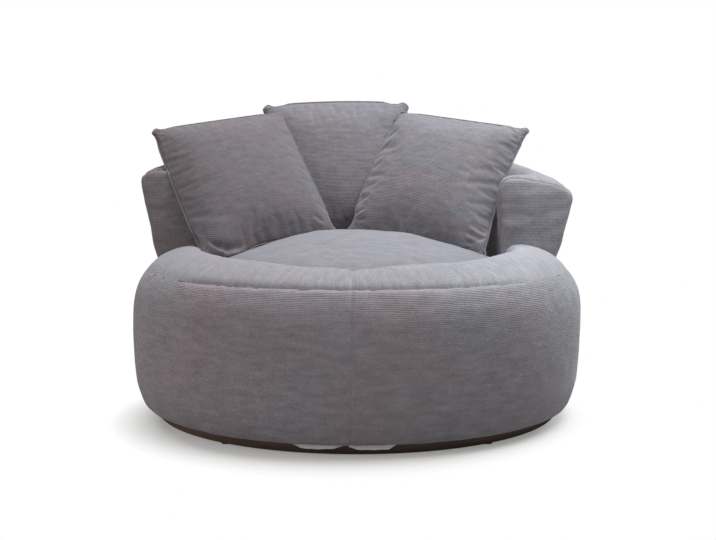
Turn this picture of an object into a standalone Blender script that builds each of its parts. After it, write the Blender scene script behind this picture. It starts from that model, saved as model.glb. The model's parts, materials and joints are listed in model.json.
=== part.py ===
"""Round upholstered swivel chair: a padded drum on a dark plinth, a wrap-around back, a domed seat
cushion and three loose square pillows. Metres, +Z up, the front faces -Y, the swivel axis is Z.

Angles round the chair are in degrees from the front (-Y) towards the sitter's left hand (+X).
"""

import math

import bmesh
import bpy
from mathutils import Euler, Matrix, Vector
from mathutils.bvhtree import BVHTree

# Running gap between two pieces that touch, and the small overrun of every cutter
GAP = 0.0003
OVERRUN = 0.002

# Facets round a full turn of the large and of the small turned pieces
TURN_STEPS = 40
SMALL_STEPS = 24
STEP = 360.0 / TURN_STEPS

# Plinth that stands on the floor
PLINTH_SETBACK = 0.066
PLINTH_WALL = 0.026
PLINTH_TOP = 0.050
PLINTH_BOARD_THICK = 0.018
GLIDE_RADIUS = 0.012
GLIDE_HEIGHT = 0.0025
GLIDE_COUNT = 5

# Ball-bearing swivel between the plinth and the drum
SWIVEL_RADIUS = 0.150
SWIVEL_PLATE_THICK = 0.0025
RACE_RADIUS = 0.125
RACE_HALF_WIDTH = 0.007
RACE_HEIGHT = 0.0025
BALL_RADIUS = 0.005
BALL_COUNT = 12
CAGE_THICK = 0.002
PIVOT_RADIUS = 0.012
PIVOT_COLLAR_RADIUS = 0.018
PIVOT_COLLAR_THICK = 0.002
SCREW_CIRCLE = 0.090
SCREW_COUNT = 3
SCREW_RADIUS = 0.0025
SCREW_HEAD_RADIUS = 0.005
SCREW_HEAD_THICK = 0.0022
SCREW_LENGTH = 0.016
SCREW_CLEARANCE = 0.0004

# Wooden drum frame
BASE_BOARD_THICK = 0.018
DRUM_SIDE_PADDING = 0.049
DRUM_WALL_THICK = 0.008
RIM_BOARD_TOP = 0.360
RIM_BOARD_THICK = 0.015
RIM_BOARD_SETBACK = 0.0135
STUD_COUNT = 6
STUD_WIDTH = 0.045
STUD_DEPTH = 0.035

# Seat support
STRAP_WIDTH = 0.060
STRAP_THICK = 0.0010
STRAP_STEP = 0.0005
STRAP_PITCH = 0.150
STRAPS_EACH_WAY = 5
STRAP_STAPLED = 0.050
FELT_THICK = 0.002
DUST_COVER_THICK = 0.0007
DUST_COVER_INNER = 0.165

# Padded drum, from the lip at the bottom to the seam round its shoulder and the crest inside that
COVER_THICK = 0.003
DRUM_RADIUS = 0.649
ROLL_WIDTH = 0.2105
LIP_SETBACK = 0.040
LIP_TURN_IN = 0.020
LIP_HEIGHT = 0.031
SHOULDER_SETBACK = 0.042
SHOULDER_HEIGHT = 0.413
CREST_HEIGHT = 0.450
CREST_RISE = 0.024
LOWER_HEIGHT_SHARES = (0.03, 0.10, 0.20, 0.38, 0.55)
LOWER_BULGE_SHARES = (0.27, 0.53, 0.79, 0.95, 1.0)
UPPER_HEIGHT_SHARES = (0.70, 0.82, 0.90, 0.96)
UPPER_BULGE_SHARES = (0.95, 0.80, 0.57, 0.27)
TOP_ACROSS_SHARES = (0.14, 0.31, 0.52, 0.73, 0.86, 0.95, 0.99)
TOP_HEIGHT_SHARES = (0.42, 0.72, 0.93, 1.0, 0.92, 0.60, 0.0)
CREST_ANGLES = (0.0, 18.0, 40.0, 60.0, 97.5)
CREST_RISE_SHARES = (0.0, 0.35, 0.50, 1.0, 0.90)

# Pale lining that shows under the hem at the front
LINING_THICK = 0.0012
LINING_DROP = 0.011
LINING_TURN_IN = 0.004
LINING_START = -14.0
LINING_END = 11.5
LINING_DROP_SHARES = (0.15, 0.90, 1.0, 0.95, 0.30, 0.75, 1.0, 0.95, 0.10)

# Wrap-around back
BACK_START = 11 * STEP
BACK_FOOT_SETBACK = 0.0055
BACK_TOP_OVERHANG = 0.015
BACK_TOP_THICK = 0.134
BACK_END_HEIGHT = 0.697
BACK_REAR_HEIGHT = 0.785
BACK_RIGHT_SLUMP = 0.050
BACK_CROWN_DROP = 0.036
BACK_OUTER_LEAN_SHARES = (0.0, 0.34, 0.66, 0.90)
BACK_OUTER_HEIGHT_SHARES = (0.0, 0.25, 0.55, 0.82)
CROWN_ACROSS_SHARES = (0.0, 0.07, 0.25, 0.50, 0.75, 0.93, 1.0)
CROWN_DROP_SHARES = (1.0, 0.40, 0.06, 0.12, 0.75, 1.7, 2.6)
BACK_INNER_LEAN_SHARES = (0.68, 0.34, 0.08, 0.0)
BACK_INNER_HEIGHT_SHARES = (0.66, 0.36, 0.14, 0.06)
BACK_SEAM_POINT = 5
RIGHT_END_FULLNESS = 0.070
RIGHT_END_LOW_SHARE = 0.45
RIGHT_END_SPAN = 14.0
RIGHT_END_DROP_SHARES = (1.0, 0.30, -0.25, -0.55, -0.80, -0.50, 0.90)
FRAME_FOOT_PADDING = 0.030
FRAME_TOP_PADDING = 0.0118
FRAME_DEPTH = 0.062
FRAME_START_MARGIN = 0.8
BACK_RAIL_HEIGHT = 0.025
BACK_RAIL_COVER = 0.042
BACK_SHELL_THICK = 0.009
POST_HALF_ANGLE = 2.3
POST_ANGLES = (BACK_START + 3.2, 180.0, 360.0 - BACK_START - 3.2)
FACING_BULGE = 0.020
FACING_CLEARANCE = 0.0012
FACING_STEP_SHARES = (0.60, 0.90, 1.0)
FACING_SIZE_SHARES = (0.92, 0.72, 0.40)

# Domed seat cushion in the well
CUSHION_CLEARANCE = 0.0012
CUSHION_CROWN = 0.517
CUSHION_SEAM_HEIGHT = 0.408
CUSHION_CORNER = 0.018
CORNER_CUT_SHARE = 0.3
CUSHION_SEAM_POINT = 4
DOME_RADIUS_SHARES = (0.98, 0.91, 0.76, 0.54, 0.28)
DOME_HEIGHT_SHARES = (0.10, 0.24, 0.44, 0.68, 0.92)

# Loose square pillows
PILLOW_THICK = 0.155
PILLOW_SIDE_DRAW = 0.006
PILLOW_CLOTH = 0.002
PILLOW_SEAM_TURN = 0.003
PILLOW_FILL_CLEARANCE = 0.0012
PILLOW_GRID_STEPS = 8
PILLOW_FULLNESS_SHARE = 0.52
PILLOW_START_SHARE = 0.75
PILLOW_NUDGE = 0.0005
PILLOW_MOST_NUDGES = 1000
PILLOW_SIDES = {
    "centre_pillow": 0.485,
    "left_pillow": 0.460,
    "right_pillow": 0.460,
}
# Places right of and behind the centre, as shares of the well's radius
PILLOW_PLACE_SHARES = {
    "centre_pillow": (-0.150, 0.863),
    "left_pillow": (-0.785, 0.410),
    "right_pillow": (0.560, 0.460),
}
# Turn, lean and roll in degrees
PILLOW_TILTS = {
    "centre_pillow": (-0.4, -21.0, -1.2),
    "left_pillow": (27.1, -37.7, -6.1),
    "right_pillow": (-20.3, -34.5, 8.8),
}


def clear_scene():
    """Removes whatever the scene starts with."""
    for old in list(bpy.data.objects):
        bpy.data.objects.remove(old, do_unlink=True)


def make_material(name, colour, roughness, metallic=0.0):
    material = bpy.data.materials.new(name)
    material.use_nodes = True
    shader = material.node_tree.nodes["Principled BSDF"]
    shader.inputs["Base Color"].default_value = (*colour, 1.0)
    shader.inputs["Roughness"].default_value = roughness
    shader.inputs["Metallic"].default_value = metallic
    material.diffuse_color = (*colour, 1.0)
    return material


def make_materials():
    return {
        "cord_fabric": make_material("cord_fabric", (0.25, 0.24, 0.26), 0.9),
        "lining": make_material("lining", (0.55, 0.53, 0.50), 0.9),
        "foam": make_material("foam", (0.85, 0.80, 0.62), 0.95),
        "fibre": make_material("fibre", (0.88, 0.88, 0.88), 0.95),
        "felt": make_material("felt", (0.10, 0.10, 0.10), 0.95),
        "webbing": make_material("webbing", (0.08, 0.08, 0.09), 0.8),
        "dark_wood": make_material("dark_wood", (0.045, 0.030, 0.022), 0.5),
        "plywood": make_material("plywood", (0.60, 0.45, 0.28), 0.7),
        "zinc_steel": make_material("zinc_steel", (0.55, 0.56, 0.58), 0.4, 1.0),
        "nylon": make_material("nylon", (0.07, 0.07, 0.07), 0.5),
    }


MATERIALS = {}


def finish_object(name, mesh_edit, material, smooth_angle=30.0):
    """Turns a closed bmesh into a named object with outward faces."""
    bmesh.ops.recalc_face_normals(mesh_edit, faces=mesh_edit.faces)
    if mesh_edit.calc_volume(signed=True) < 0:
        bmesh.ops.reverse_faces(mesh_edit, faces=mesh_edit.faces)
    mesh = bpy.data.meshes.new(name)
    mesh_edit.to_mesh(mesh)
    mesh_edit.free()
    mesh.materials.append(MATERIALS[material])
    mesh.shade_smooth()
    mesh.set_sharp_from_angle(angle=math.radians(smooth_angle))
    part = bpy.data.objects.new(name, mesh)
    bpy.context.scene.collection.objects.link(part)
    return part


def round_point(radius, height, angle):
    """The point at this angle from the front, in degrees."""
    turn = math.radians(angle)
    return Vector((radius * math.sin(turn), -radius * math.cos(turn), height))


def on_facet(angle):
    """How far out the facets of a turned piece reach at this angle, as a share of its radius."""
    middle = (math.floor(angle / STEP) + 0.5) * STEP
    return math.cos(math.radians(STEP / 2)) / math.cos(math.radians(angle - middle))


def swept(name, section_at, angles, material, full_turn=False):
    """A closed section of (radius, height) points carried round the axis."""
    edit = bmesh.new()
    rings = []
    for angle in angles:
        reach = 1.0 if full_turn else on_facet(angle)
        ring = [edit.verts.new(round_point(r * reach, z, angle)) for r, z in section_at(angle)]
        rings.append(ring)
    count = len(rings[0])
    pairs = list(zip(rings, rings[1:]))
    if full_turn:
        pairs.append((rings[-1], rings[0]))
    for first, second in pairs:
        for i in range(count):
            j = (i + 1) % count
            edit.faces.new((first[i], first[j], second[j], second[i]))
    if not full_turn:
        edit.faces.new(rings[0])
        edit.faces.new(list(reversed(rings[-1])))
    edit.normal_update()
    # Neighbouring layers split their warped quads alike, so they keep their gap
    bmesh.ops.triangulate(edit, faces=edit.faces, quad_method="SHORT_EDGE")
    return finish_object(name, edit, material)


def full_angles(steps=TURN_STEPS):
    return [360.0 * k / steps for k in range(steps)]


def arc_angles(start, end):
    """The grid angles strictly between start and end, with both ends."""
    grid = [k * STEP for k in range(-TURN_STEPS, TURN_STEPS + 1)]
    return [start, *[angle for angle in grid if start < angle < end], end]


def revolved(name, profile, material, steps=TURN_STEPS):
    """A profile that begins and ends on the axis, turned into a solid."""
    edit = bmesh.new()
    bottom = edit.verts.new((0.0, 0.0, profile[0][1]))
    top = edit.verts.new((0.0, 0.0, profile[-1][1]))
    rings = []
    for radius, height in profile[1:-1]:
        rings.append([edit.verts.new(round_point(radius, height, a)) for a in full_angles(steps)])
    for k in range(steps):
        n = (k + 1) % steps
        edit.faces.new((bottom, rings[0][n], rings[0][k]))
        edit.faces.new((top, rings[-1][k], rings[-1][n]))
        for lower, upper in zip(rings, rings[1:]):
            edit.faces.new((lower[k], lower[n], upper[n], upper[k]))
    return finish_object(name, edit, material)


def disc(name, radius, bottom, top, material, steps=TURN_STEPS, centre=(0.0, 0.0)):
    edit = bmesh.new()
    bmesh.ops.create_cone(
        edit,
        cap_ends=True,
        segments=steps,
        radius1=radius,
        radius2=radius,
        depth=top - bottom,
        matrix=Matrix.Translation((centre[0], centre[1], (bottom + top) / 2)),
    )
    return finish_object(name, edit, material)


def inset(points, distance):
    """An open outline moved to its left by a distance, which is into the padding."""
    moved = []
    for i, (r, z) in enumerate(points):
        before = points[max(i - 1, 0)]
        after = points[min(i + 1, len(points) - 1)]
        sides = []
        for (r0, z0), (r1, z1) in ((before, (r, z)), ((r, z), after)):
            length = math.hypot(r1 - r0, z1 - z0)
            if length > 0:
                sides.append((-(z1 - z0) / length, (r1 - r0) / length))
        normal_r = sum(s[0] for s in sides)
        normal_z = sum(s[1] for s in sides)
        size = math.hypot(normal_r, normal_z)
        normal_r, normal_z = normal_r / size, normal_z / size
        reach = distance / max(0.5, normal_r * sides[0][0] + normal_z * sides[0][1])
        moved.append((r + normal_r * reach, z + normal_z * reach))
    return moved


def between(value, places, results):
    """Straight-line reading of a small table."""
    for (p0, r0), (p1, r1) in zip(zip(places, results), zip(places[1:], results[1:])):
        if value <= p1:
            share = (value - p0) / (p1 - p0)
            return r0 + share * (r1 - r0)
    return results[-1]


def cut(part, cutters):
    """Cuts the cutters out of a part and removes them."""
    for cutter in cutters:
        modifier = part.modifiers.new("cut", "BOOLEAN")
        modifier.operation = "DIFFERENCE"
        modifier.solver = "EXACT"
        modifier.object = cutter
    settle_modifiers(part)
    for cutter in cutters:
        bpy.data.objects.remove(cutter, do_unlink=True)


def join(part, additions):
    """Joins the additions to a part as one solid and removes them."""
    for addition in additions:
        modifier = part.modifiers.new("join", "BOOLEAN")
        modifier.operation = "UNION"
        modifier.solver = "EXACT"
        modifier.object = addition
    settle_modifiers(part)
    for addition in additions:
        bpy.data.objects.remove(addition, do_unlink=True)


def settle_modifiers(part):
    graph = bpy.context.evaluated_depsgraph_get()
    mesh = bpy.data.meshes.new_from_object(part.evaluated_get(graph))
    part.modifiers.clear()
    part.data = mesh


# Radii and heights that several pieces share

PLINTH_RADIUS = DRUM_RADIUS - PLINTH_SETBACK
PLINTH_INNER = PLINTH_RADIUS - PLINTH_WALL
DRUM_WALL_RADIUS = DRUM_RADIUS - DRUM_SIDE_PADDING
DRUM_WALL_INNER = DRUM_WALL_RADIUS - DRUM_WALL_THICK
LIP_RADIUS = DRUM_RADIUS - LIP_SETBACK
LIP_INNER_RADIUS = LIP_RADIUS - LIP_TURN_IN
SHOULDER_RADIUS = DRUM_RADIUS - SHOULDER_SETBACK
WELL_RADIUS = DRUM_RADIUS - ROLL_WIDTH
RIM_BOARD_INNER = WELL_RADIUS + RIM_BOARD_SETBACK
STRAP_REACH = RIM_BOARD_INNER + STRAP_STAPLED
BACK_FOOT_RADIUS = SHOULDER_RADIUS - BACK_FOOT_SETBACK
BACK_TOP_RADIUS = DRUM_RADIUS + BACK_TOP_OVERHANG
BACK_INNER_TOP_RADIUS = BACK_TOP_RADIUS - BACK_TOP_THICK
PLINTH_BOTTOM = GLIDE_HEIGHT + GAP
LOWER_PLATE_BOTTOM = PLINTH_TOP + GAP
LOWER_PLATE_TOP = LOWER_PLATE_BOTTOM + SWIVEL_PLATE_THICK
BALL_CENTRE = LOWER_PLATE_TOP + RACE_HEIGHT + GAP + BALL_RADIUS
UPPER_PLATE_BOTTOM = BALL_CENTRE + BALL_RADIUS + GAP + RACE_HEIGHT
UPPER_PLATE_TOP = UPPER_PLATE_BOTTOM + SWIVEL_PLATE_THICK
BASE_BOARD_BOTTOM = UPPER_PLATE_TOP + GAP
BASE_BOARD_TOP = BASE_BOARD_BOTTOM + BASE_BOARD_THICK
DRUM_WALL_BOTTOM = LIP_HEIGHT + COVER_THICK + GAP
RIM_BOARD_BOTTOM = RIM_BOARD_TOP - RIM_BOARD_THICK
STRAP_TOP = RIM_BOARD_TOP + GAP + STRAP_THICK + STRAP_STEP
FELT_TOP = STRAP_TOP + GAP + FELT_THICK
WELL_FLOOR = FELT_TOP + GAP
FRAME_FOOT_RADIUS = BACK_FOOT_RADIUS - FRAME_FOOT_PADDING - FRAME_DEPTH
FRAME_TOP_RADIUS = BACK_TOP_RADIUS - FRAME_TOP_PADDING - FRAME_DEPTH
FRAME_LEAN = (FRAME_TOP_RADIUS - FRAME_FOOT_RADIUS) / (BACK_REAR_HEIGHT - RIM_BOARD_TOP)
SHOULDER_POINT = 2 + len(LOWER_HEIGHT_SHARES) + len(UPPER_HEIGHT_SHARES)


# Plinth and swivel


def build_plinth():
    section = [
        (PLINTH_RADIUS, PLINTH_BOTTOM),
        (PLINTH_RADIUS, PLINTH_TOP),
        (PLINTH_INNER, PLINTH_TOP),
        (PLINTH_INNER, PLINTH_BOTTOM),
    ]
    swept("plinth_ring", lambda angle: section, full_angles(), "dark_wood", full_turn=True)
    board = disc(
        "plinth_board",
        PLINTH_INNER - GAP,
        PLINTH_TOP - PLINTH_BOARD_THICK,
        PLINTH_TOP,
        "plywood",
    )
    hole_foot = LOWER_PLATE_TOP - SCREW_LENGTH
    cut(board, [screw_hole(k, hole_foot, PLINTH_TOP, 0.0) for k in range(SCREW_COUNT)])
    glide_circle = PLINTH_RADIUS - PLINTH_WALL / 2
    for k in range(GLIDE_COUNT):
        place = round_point(glide_circle, 0.0, 360.0 * (k + 0.5) / GLIDE_COUNT)
        disc(f"floor_glide_{k + 1}", GLIDE_RADIUS, 0.0, GLIDE_HEIGHT, "nylon", 12, (place.x, place.y))


def screw_place(index, height, turn):
    """Where a screw stands: on its circle, halfway between two facets of the plates."""
    half_facet = 180.0 / SMALL_STEPS
    return round_point(SCREW_CIRCLE, height, turn + half_facet + 360.0 * index / SCREW_COUNT)


def screw_hole(index, bottom, top, turn):
    """A cutter for one screw's hole, open above and below the given heights."""
    place = screw_place(index, 0.0, turn)
    radius = SCREW_RADIUS + SCREW_CLEARANCE
    return disc("hole", radius, bottom - OVERRUN, top + OVERRUN, "nylon", 8, (place.x, place.y))


def swivel_plate(name, low, high, race_low, race_high, turn):
    """A pressed steel plate with a raised race, a pivot hole and three screw holes."""
    hole = PIVOT_RADIUS + GAP
    inner, outer = RACE_RADIUS - RACE_HALF_WIDTH, RACE_RADIUS + RACE_HALF_WIDTH
    if race_high > high:
        section = [
            (SWIVEL_RADIUS, low),
            (SWIVEL_RADIUS, high),
            (outer, high),
            (outer, race_high),
            (inner, race_high),
            (inner, high),
            (hole, high),
            (hole, low),
        ]
    else:
        section = [
            (SWIVEL_RADIUS, low),
            (SWIVEL_RADIUS, high),
            (hole, high),
            (hole, low),
            (inner, low),
            (inner, race_low),
            (outer, race_low),
            (outer, low),
        ]
    plate = swept(name, lambda angle: section, full_angles(SMALL_STEPS), "zinc_steel", full_turn=True)
    cut(plate, [screw_hole(k, low, high, turn) for k in range(SCREW_COUNT)])


def screw(name, index, head_face, direction, turn):
    """A pan-head screw whose head bears on a plate's face and whose shank goes the other way."""
    place = screw_place(index, head_face, turn)
    edit = bmesh.new()
    profile = [
        (SCREW_RADIUS, -SCREW_LENGTH),
        (SCREW_RADIUS, GAP),
        (SCREW_HEAD_RADIUS, GAP),
        (SCREW_HEAD_RADIUS, SCREW_HEAD_THICK),
    ]
    rings = []
    for radius, height in profile:
        ring = []
        for k in range(8):
            turned = math.tau * k / 8
            offset = Vector((radius * math.cos(turned), radius * math.sin(turned), height * direction))
            ring.append(edit.verts.new(place + offset))
        rings.append(ring)
    for lower, upper in zip(rings, rings[1:]):
        for k in range(8):
            n = (k + 1) % 8
            edit.faces.new((lower[k], lower[n], upper[n], upper[k]))
    edit.faces.new(rings[0])
    edit.faces.new(rings[-1])
    return finish_object(name, edit, "zinc_steel")


def build_swivel():
    half_turn = 180.0 / SCREW_COUNT
    swivel_plate(
        "swivel_lower_plate",
        LOWER_PLATE_BOTTOM,
        LOWER_PLATE_TOP,
        LOWER_PLATE_TOP,
        LOWER_PLATE_TOP + RACE_HEIGHT,
        0.0,
    )
    swivel_plate(
        "swivel_upper_plate",
        UPPER_PLATE_BOTTOM,
        UPPER_PLATE_TOP,
        UPPER_PLATE_BOTTOM - RACE_HEIGHT,
        UPPER_PLATE_BOTTOM,
        half_turn,
    )
    for k in range(SCREW_COUNT):
        screw(f"lower_plate_screw_{k + 1}", k, LOWER_PLATE_TOP, 1.0, 0.0)
        screw(f"upper_plate_screw_{k + 1}", k, UPPER_PLATE_BOTTOM, -1.0, half_turn)
    build_pivot()
    build_ball_race()


def build_pivot():
    """The pin that keeps the two plates on one centre: pressed in the lower, running in the upper."""
    collar_bottom = LOWER_PLATE_TOP + GAP
    collar_top = collar_bottom + PIVOT_COLLAR_THICK
    profile = [
        (0.0, LOWER_PLATE_BOTTOM),
        (PIVOT_RADIUS, LOWER_PLATE_BOTTOM),
        (PIVOT_RADIUS, collar_bottom),
        (PIVOT_COLLAR_RADIUS, collar_bottom),
        (PIVOT_COLLAR_RADIUS, collar_top),
        (PIVOT_RADIUS, collar_top),
        (PIVOT_RADIUS, UPPER_PLATE_TOP - GAP),
        (0.0, UPPER_PLATE_TOP - GAP),
    ]
    revolved("swivel_pivot", profile, "zinc_steel", SMALL_STEPS)


def build_ball_race():
    """The cage with its balls, which roll between the plates and turn at half the drum's rate."""
    low, high = BALL_CENTRE - CAGE_THICK / 2, BALL_CENTRE + CAGE_THICK / 2
    inner, outer = RACE_RADIUS - RACE_HALF_WIDTH, RACE_RADIUS + RACE_HALF_WIDTH
    section = [(outer, low), (outer, high), (inner, high), (inner, low)]
    cage = swept("ball_race", lambda angle: section, full_angles(SMALL_STEPS), "zinc_steel", full_turn=True)
    balls = bmesh.new()
    for k in range(BALL_COUNT):
        place = round_point(RACE_RADIUS, BALL_CENTRE, 360.0 * (k + 0.5) / BALL_COUNT)
        bmesh.ops.create_icosphere(
            balls, subdivisions=1, radius=BALL_RADIUS, matrix=Matrix.Translation(place)
        )
    join(cage, [finish_object("balls", balls, "zinc_steel")])


# Drum frame and seat support


def build_drum_frame():
    reach = DRUM_WALL_INNER - GAP
    base = disc("base_board", reach, BASE_BOARD_BOTTOM, BASE_BOARD_TOP, "plywood")
    half_turn = 180.0 / SCREW_COUNT
    hole_top = UPPER_PLATE_BOTTOM + SCREW_LENGTH
    cut(base, [screw_hole(k, BASE_BOARD_BOTTOM, hole_top, half_turn) for k in range(SCREW_COUNT)])
    wall = [
        (DRUM_WALL_RADIUS, DRUM_WALL_BOTTOM),
        (DRUM_WALL_RADIUS, RIM_BOARD_BOTTOM - GAP),
        (DRUM_WALL_INNER, RIM_BOARD_BOTTOM - GAP),
        (DRUM_WALL_INNER, DRUM_WALL_BOTTOM),
    ]
    swept("drum_wall", lambda angle: wall, full_angles(), "plywood", full_turn=True)
    rim = [
        (DRUM_WALL_RADIUS, RIM_BOARD_BOTTOM),
        (DRUM_WALL_RADIUS, RIM_BOARD_TOP),
        (RIM_BOARD_INNER, RIM_BOARD_TOP),
        (RIM_BOARD_INNER, RIM_BOARD_BOTTOM),
    ]
    swept("rim_board", lambda angle: rim, full_angles(), "plywood", full_turn=True)
    outer = DRUM_WALL_INNER - GAP
    stud = [
        (outer, BASE_BOARD_TOP + GAP),
        (outer, RIM_BOARD_BOTTOM - GAP),
        (outer - STUD_DEPTH, RIM_BOARD_BOTTOM - GAP),
        (outer - STUD_DEPTH, BASE_BOARD_TOP + GAP),
    ]
    half = math.degrees(STUD_WIDTH / 2 / outer)
    for k in range(STUD_COUNT):
        middle = 360.0 * (k + 0.5) / STUD_COUNT
        swept(f"frame_stud_{k + 1}", lambda angle: stud, [middle - half, middle + half], "plywood")


def strap(name, offset, along_x, bottom):
    """One flat strap across the rim board's opening."""
    reach = math.sqrt(STRAP_REACH**2 - (abs(offset) + STRAP_WIDTH / 2) ** 2)
    size = (2 * reach, STRAP_WIDTH) if along_x else (STRAP_WIDTH, 2 * reach)
    centre = (0.0, offset) if along_x else (offset, 0.0)
    edit = bmesh.new()
    place = Matrix.Translation((*centre, bottom + STRAP_THICK / 2))
    bmesh.ops.create_cube(edit, size=1.0, matrix=place @ Matrix.Diagonal((*size, STRAP_THICK, 1.0)))
    return finish_object(name, edit, "webbing")


def build_seat_support():
    """Crossed elastic straps stapled to the rim board, a felt over them and a dust cover below."""
    middle = (STRAPS_EACH_WAY - 1) / 2
    offsets = [(k - middle) * STRAP_PITCH for k in range(STRAPS_EACH_WAY)]
    low = RIM_BOARD_TOP + GAP
    straps = [strap("strap", offset, True, low) for offset in offsets]
    crossing = [strap("strap", offset, False, low + STRAP_STEP) for offset in offsets]
    webbing = straps[0]
    webbing.name = "seat_webbing"
    join(webbing, [*crossing, *straps[1:]])
    felt_radius = WELL_RADIUS - CUSHION_CLEARANCE
    disc("deck_felt", felt_radius, STRAP_TOP + GAP, FELT_TOP, "felt")
    high = BASE_BOARD_BOTTOM - GAP
    outer = DRUM_WALL_INNER - GAP
    sheet = [
        (outer, high - DUST_COVER_THICK),
        (outer, high),
        (DUST_COVER_INNER, high),
        (DUST_COVER_INNER, high - DUST_COVER_THICK),
    ]
    swept("dust_cover", lambda angle: sheet, full_angles(), "lining", full_turn=True)


# Padded drum


def crest_at(angle):
    """How much of the rise towards the arms there is at this angle."""
    from_front = abs((angle + 180.0) % 360.0 - 180.0)
    return CREST_RISE * between(from_front, CREST_ANGLES, CREST_RISE_SHARES)


def side_outline():
    """The drum's side, from under its lip to the seam round the shoulder."""
    rise = SHOULDER_HEIGHT - LIP_HEIGHT
    points = [(LIP_INNER_RADIUS, LIP_HEIGHT), (LIP_RADIUS, LIP_HEIGHT)]
    for height, bulge in zip(LOWER_HEIGHT_SHARES, LOWER_BULGE_SHARES):
        points.append((LIP_RADIUS + bulge * (DRUM_RADIUS - LIP_RADIUS), LIP_HEIGHT + height * rise))
    for height, bulge in zip(UPPER_HEIGHT_SHARES, UPPER_BULGE_SHARES):
        reach = SHOULDER_RADIUS + bulge * (DRUM_RADIUS - SHOULDER_RADIUS)
        points.append((reach, LIP_HEIGHT + height * rise))
    points.append((SHOULDER_RADIUS, SHOULDER_HEIGHT))
    return points


def top_outline(angle):
    """The drum's top, from the shoulder seam over the crest and down into the well."""
    crest = CREST_HEIGHT + crest_at(angle) - SHOULDER_HEIGHT
    points = [(SHOULDER_RADIUS, SHOULDER_HEIGHT)]
    for across, height in zip(TOP_ACROSS_SHARES, TOP_HEIGHT_SHARES):
        reach = SHOULDER_RADIUS + across * (WELL_RADIUS - SHOULDER_RADIUS)
        points.append((reach, SHOULDER_HEIGHT + height * crest))
    points.append((WELL_RADIUS, WELL_FLOOR))
    return points


def drum_outline(angle):
    """The whole padded side and top, with the shoulder seam at point SHOULDER_POINT."""
    return [*side_outline(), *top_outline(angle)[1:]]


def panel_section(outline, first, last, shift):
    """One cloth panel between two points of an outline, its first edge moved along by a gap."""
    inner = inset(outline, COVER_THICK)
    outer_run = outline[first:last]
    inner_run = inner[first:last]
    if shift:
        outer_run = [towards(outer_run[0], outer_run[1], shift), *outer_run[1:]]
        inner_run = [towards(inner_run[0], inner_run[1], shift), *inner_run[1:]]
    return [*outer_run, *reversed(inner_run)]


def towards(start, end, distance):
    length = math.hypot(end[0] - start[0], end[1] - start[1])
    return (
        start[0] + (end[0] - start[0]) * distance / length,
        start[1] + (end[1] - start[1]) * distance / length,
    )


def side_foam_section(angle):
    padding = inset(drum_outline(angle), COVER_THICK + GAP)
    wall = DRUM_WALL_RADIUS + GAP
    shown = [p for p in padding[2 : SHOULDER_POINT + 1] if p[0] > wall]
    foot = LIP_RADIUS - COVER_THICK - GAP
    return [(wall, DRUM_WALL_BOTTOM), (foot, DRUM_WALL_BOTTOM), *shown, (wall, shown[-1][1])]


def top_foam_section(angle):
    padding = inset(drum_outline(angle), COVER_THICK + GAP)[SHOULDER_POINT:]
    return [
        (DRUM_WALL_RADIUS, STRAP_TOP + GAP),
        (DRUM_WALL_RADIUS, padding[0][1]),
        *padding[1:-1],
        (padding[-1][0], STRAP_TOP + GAP),
    ]


def build_drum_padding():
    swept("drum_foam_side", side_foam_section, full_angles(), "foam", full_turn=True)
    seam = math.degrees(GAP / 2 / DRUM_RADIUS)
    end = BACK_START - math.degrees(GAP / WELL_RADIUS)
    swept("drum_foam_top", top_foam_section, arc_angles(-end, end), "foam")

    def side(angle):
        return panel_section(drum_outline(angle), 0, SHOULDER_POINT + 1, 0.0)

    def top(angle):
        outline = drum_outline(angle)
        return panel_section(outline, SHOULDER_POINT, len(outline), GAP)

    cloth = "cord_fabric"
    swept("drum_cover_side_right", side, arc_angles(seam, 180.0 - seam), cloth)
    swept("drum_cover_side_left", side, arc_angles(180.0 + seam, 360.0 - seam), cloth)
    swept("drum_cover_top_right", top, arc_angles(seam, end), cloth)
    swept("drum_cover_top_left", top, arc_angles(360.0 - end, 360.0 - seam), cloth)


def build_hem_lining():
    """The pale lining that hangs a little below the hem at the front."""
    count = len(LINING_DROP_SHARES) - 1
    angles = [LINING_START + (LINING_END - LINING_START) * k / count for k in range(count + 1)]
    top = LIP_HEIGHT + LINING_DROP / 2

    def section(angle):
        place = round((angle - LINING_START) / (LINING_END - LINING_START) * count)
        drop = LINING_DROP * LINING_DROP_SHARES[place]
        outer = LIP_INNER_RADIUS - GAP
        inner = outer - LINING_THICK
        foot = LIP_HEIGHT - drop
        return [
            (outer, foot),
            (outer, top),
            (inner, top),
            (inner, foot + LINING_TURN_IN / 4),
        ]

    swept("hem_lining", section, angles, "lining")


# Back


def back_height(angle):
    """Height of the back's top: low at both ends, highest behind, a little slumped on the right."""
    share = (angle - BACK_START) / (180.0 - BACK_START)
    climb = math.sin(math.pi / 2 * min(share, 2.0 - share))
    height = BACK_END_HEIGHT + (BACK_REAR_HEIGHT - BACK_END_HEIGHT) * climb
    return height - BACK_RIGHT_SLUMP * max(0.0, 1.0 - share) ** 2


def right_end_share(angle):
    """1 at the back's right-hand end, where its padding has slumped inwards, down to 0 behind it."""
    share = min(max(1.0 - (angle - BACK_START) / RIGHT_END_SPAN, 0.0), 1.0)
    return share * share * (3.0 - 2.0 * share)


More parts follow.
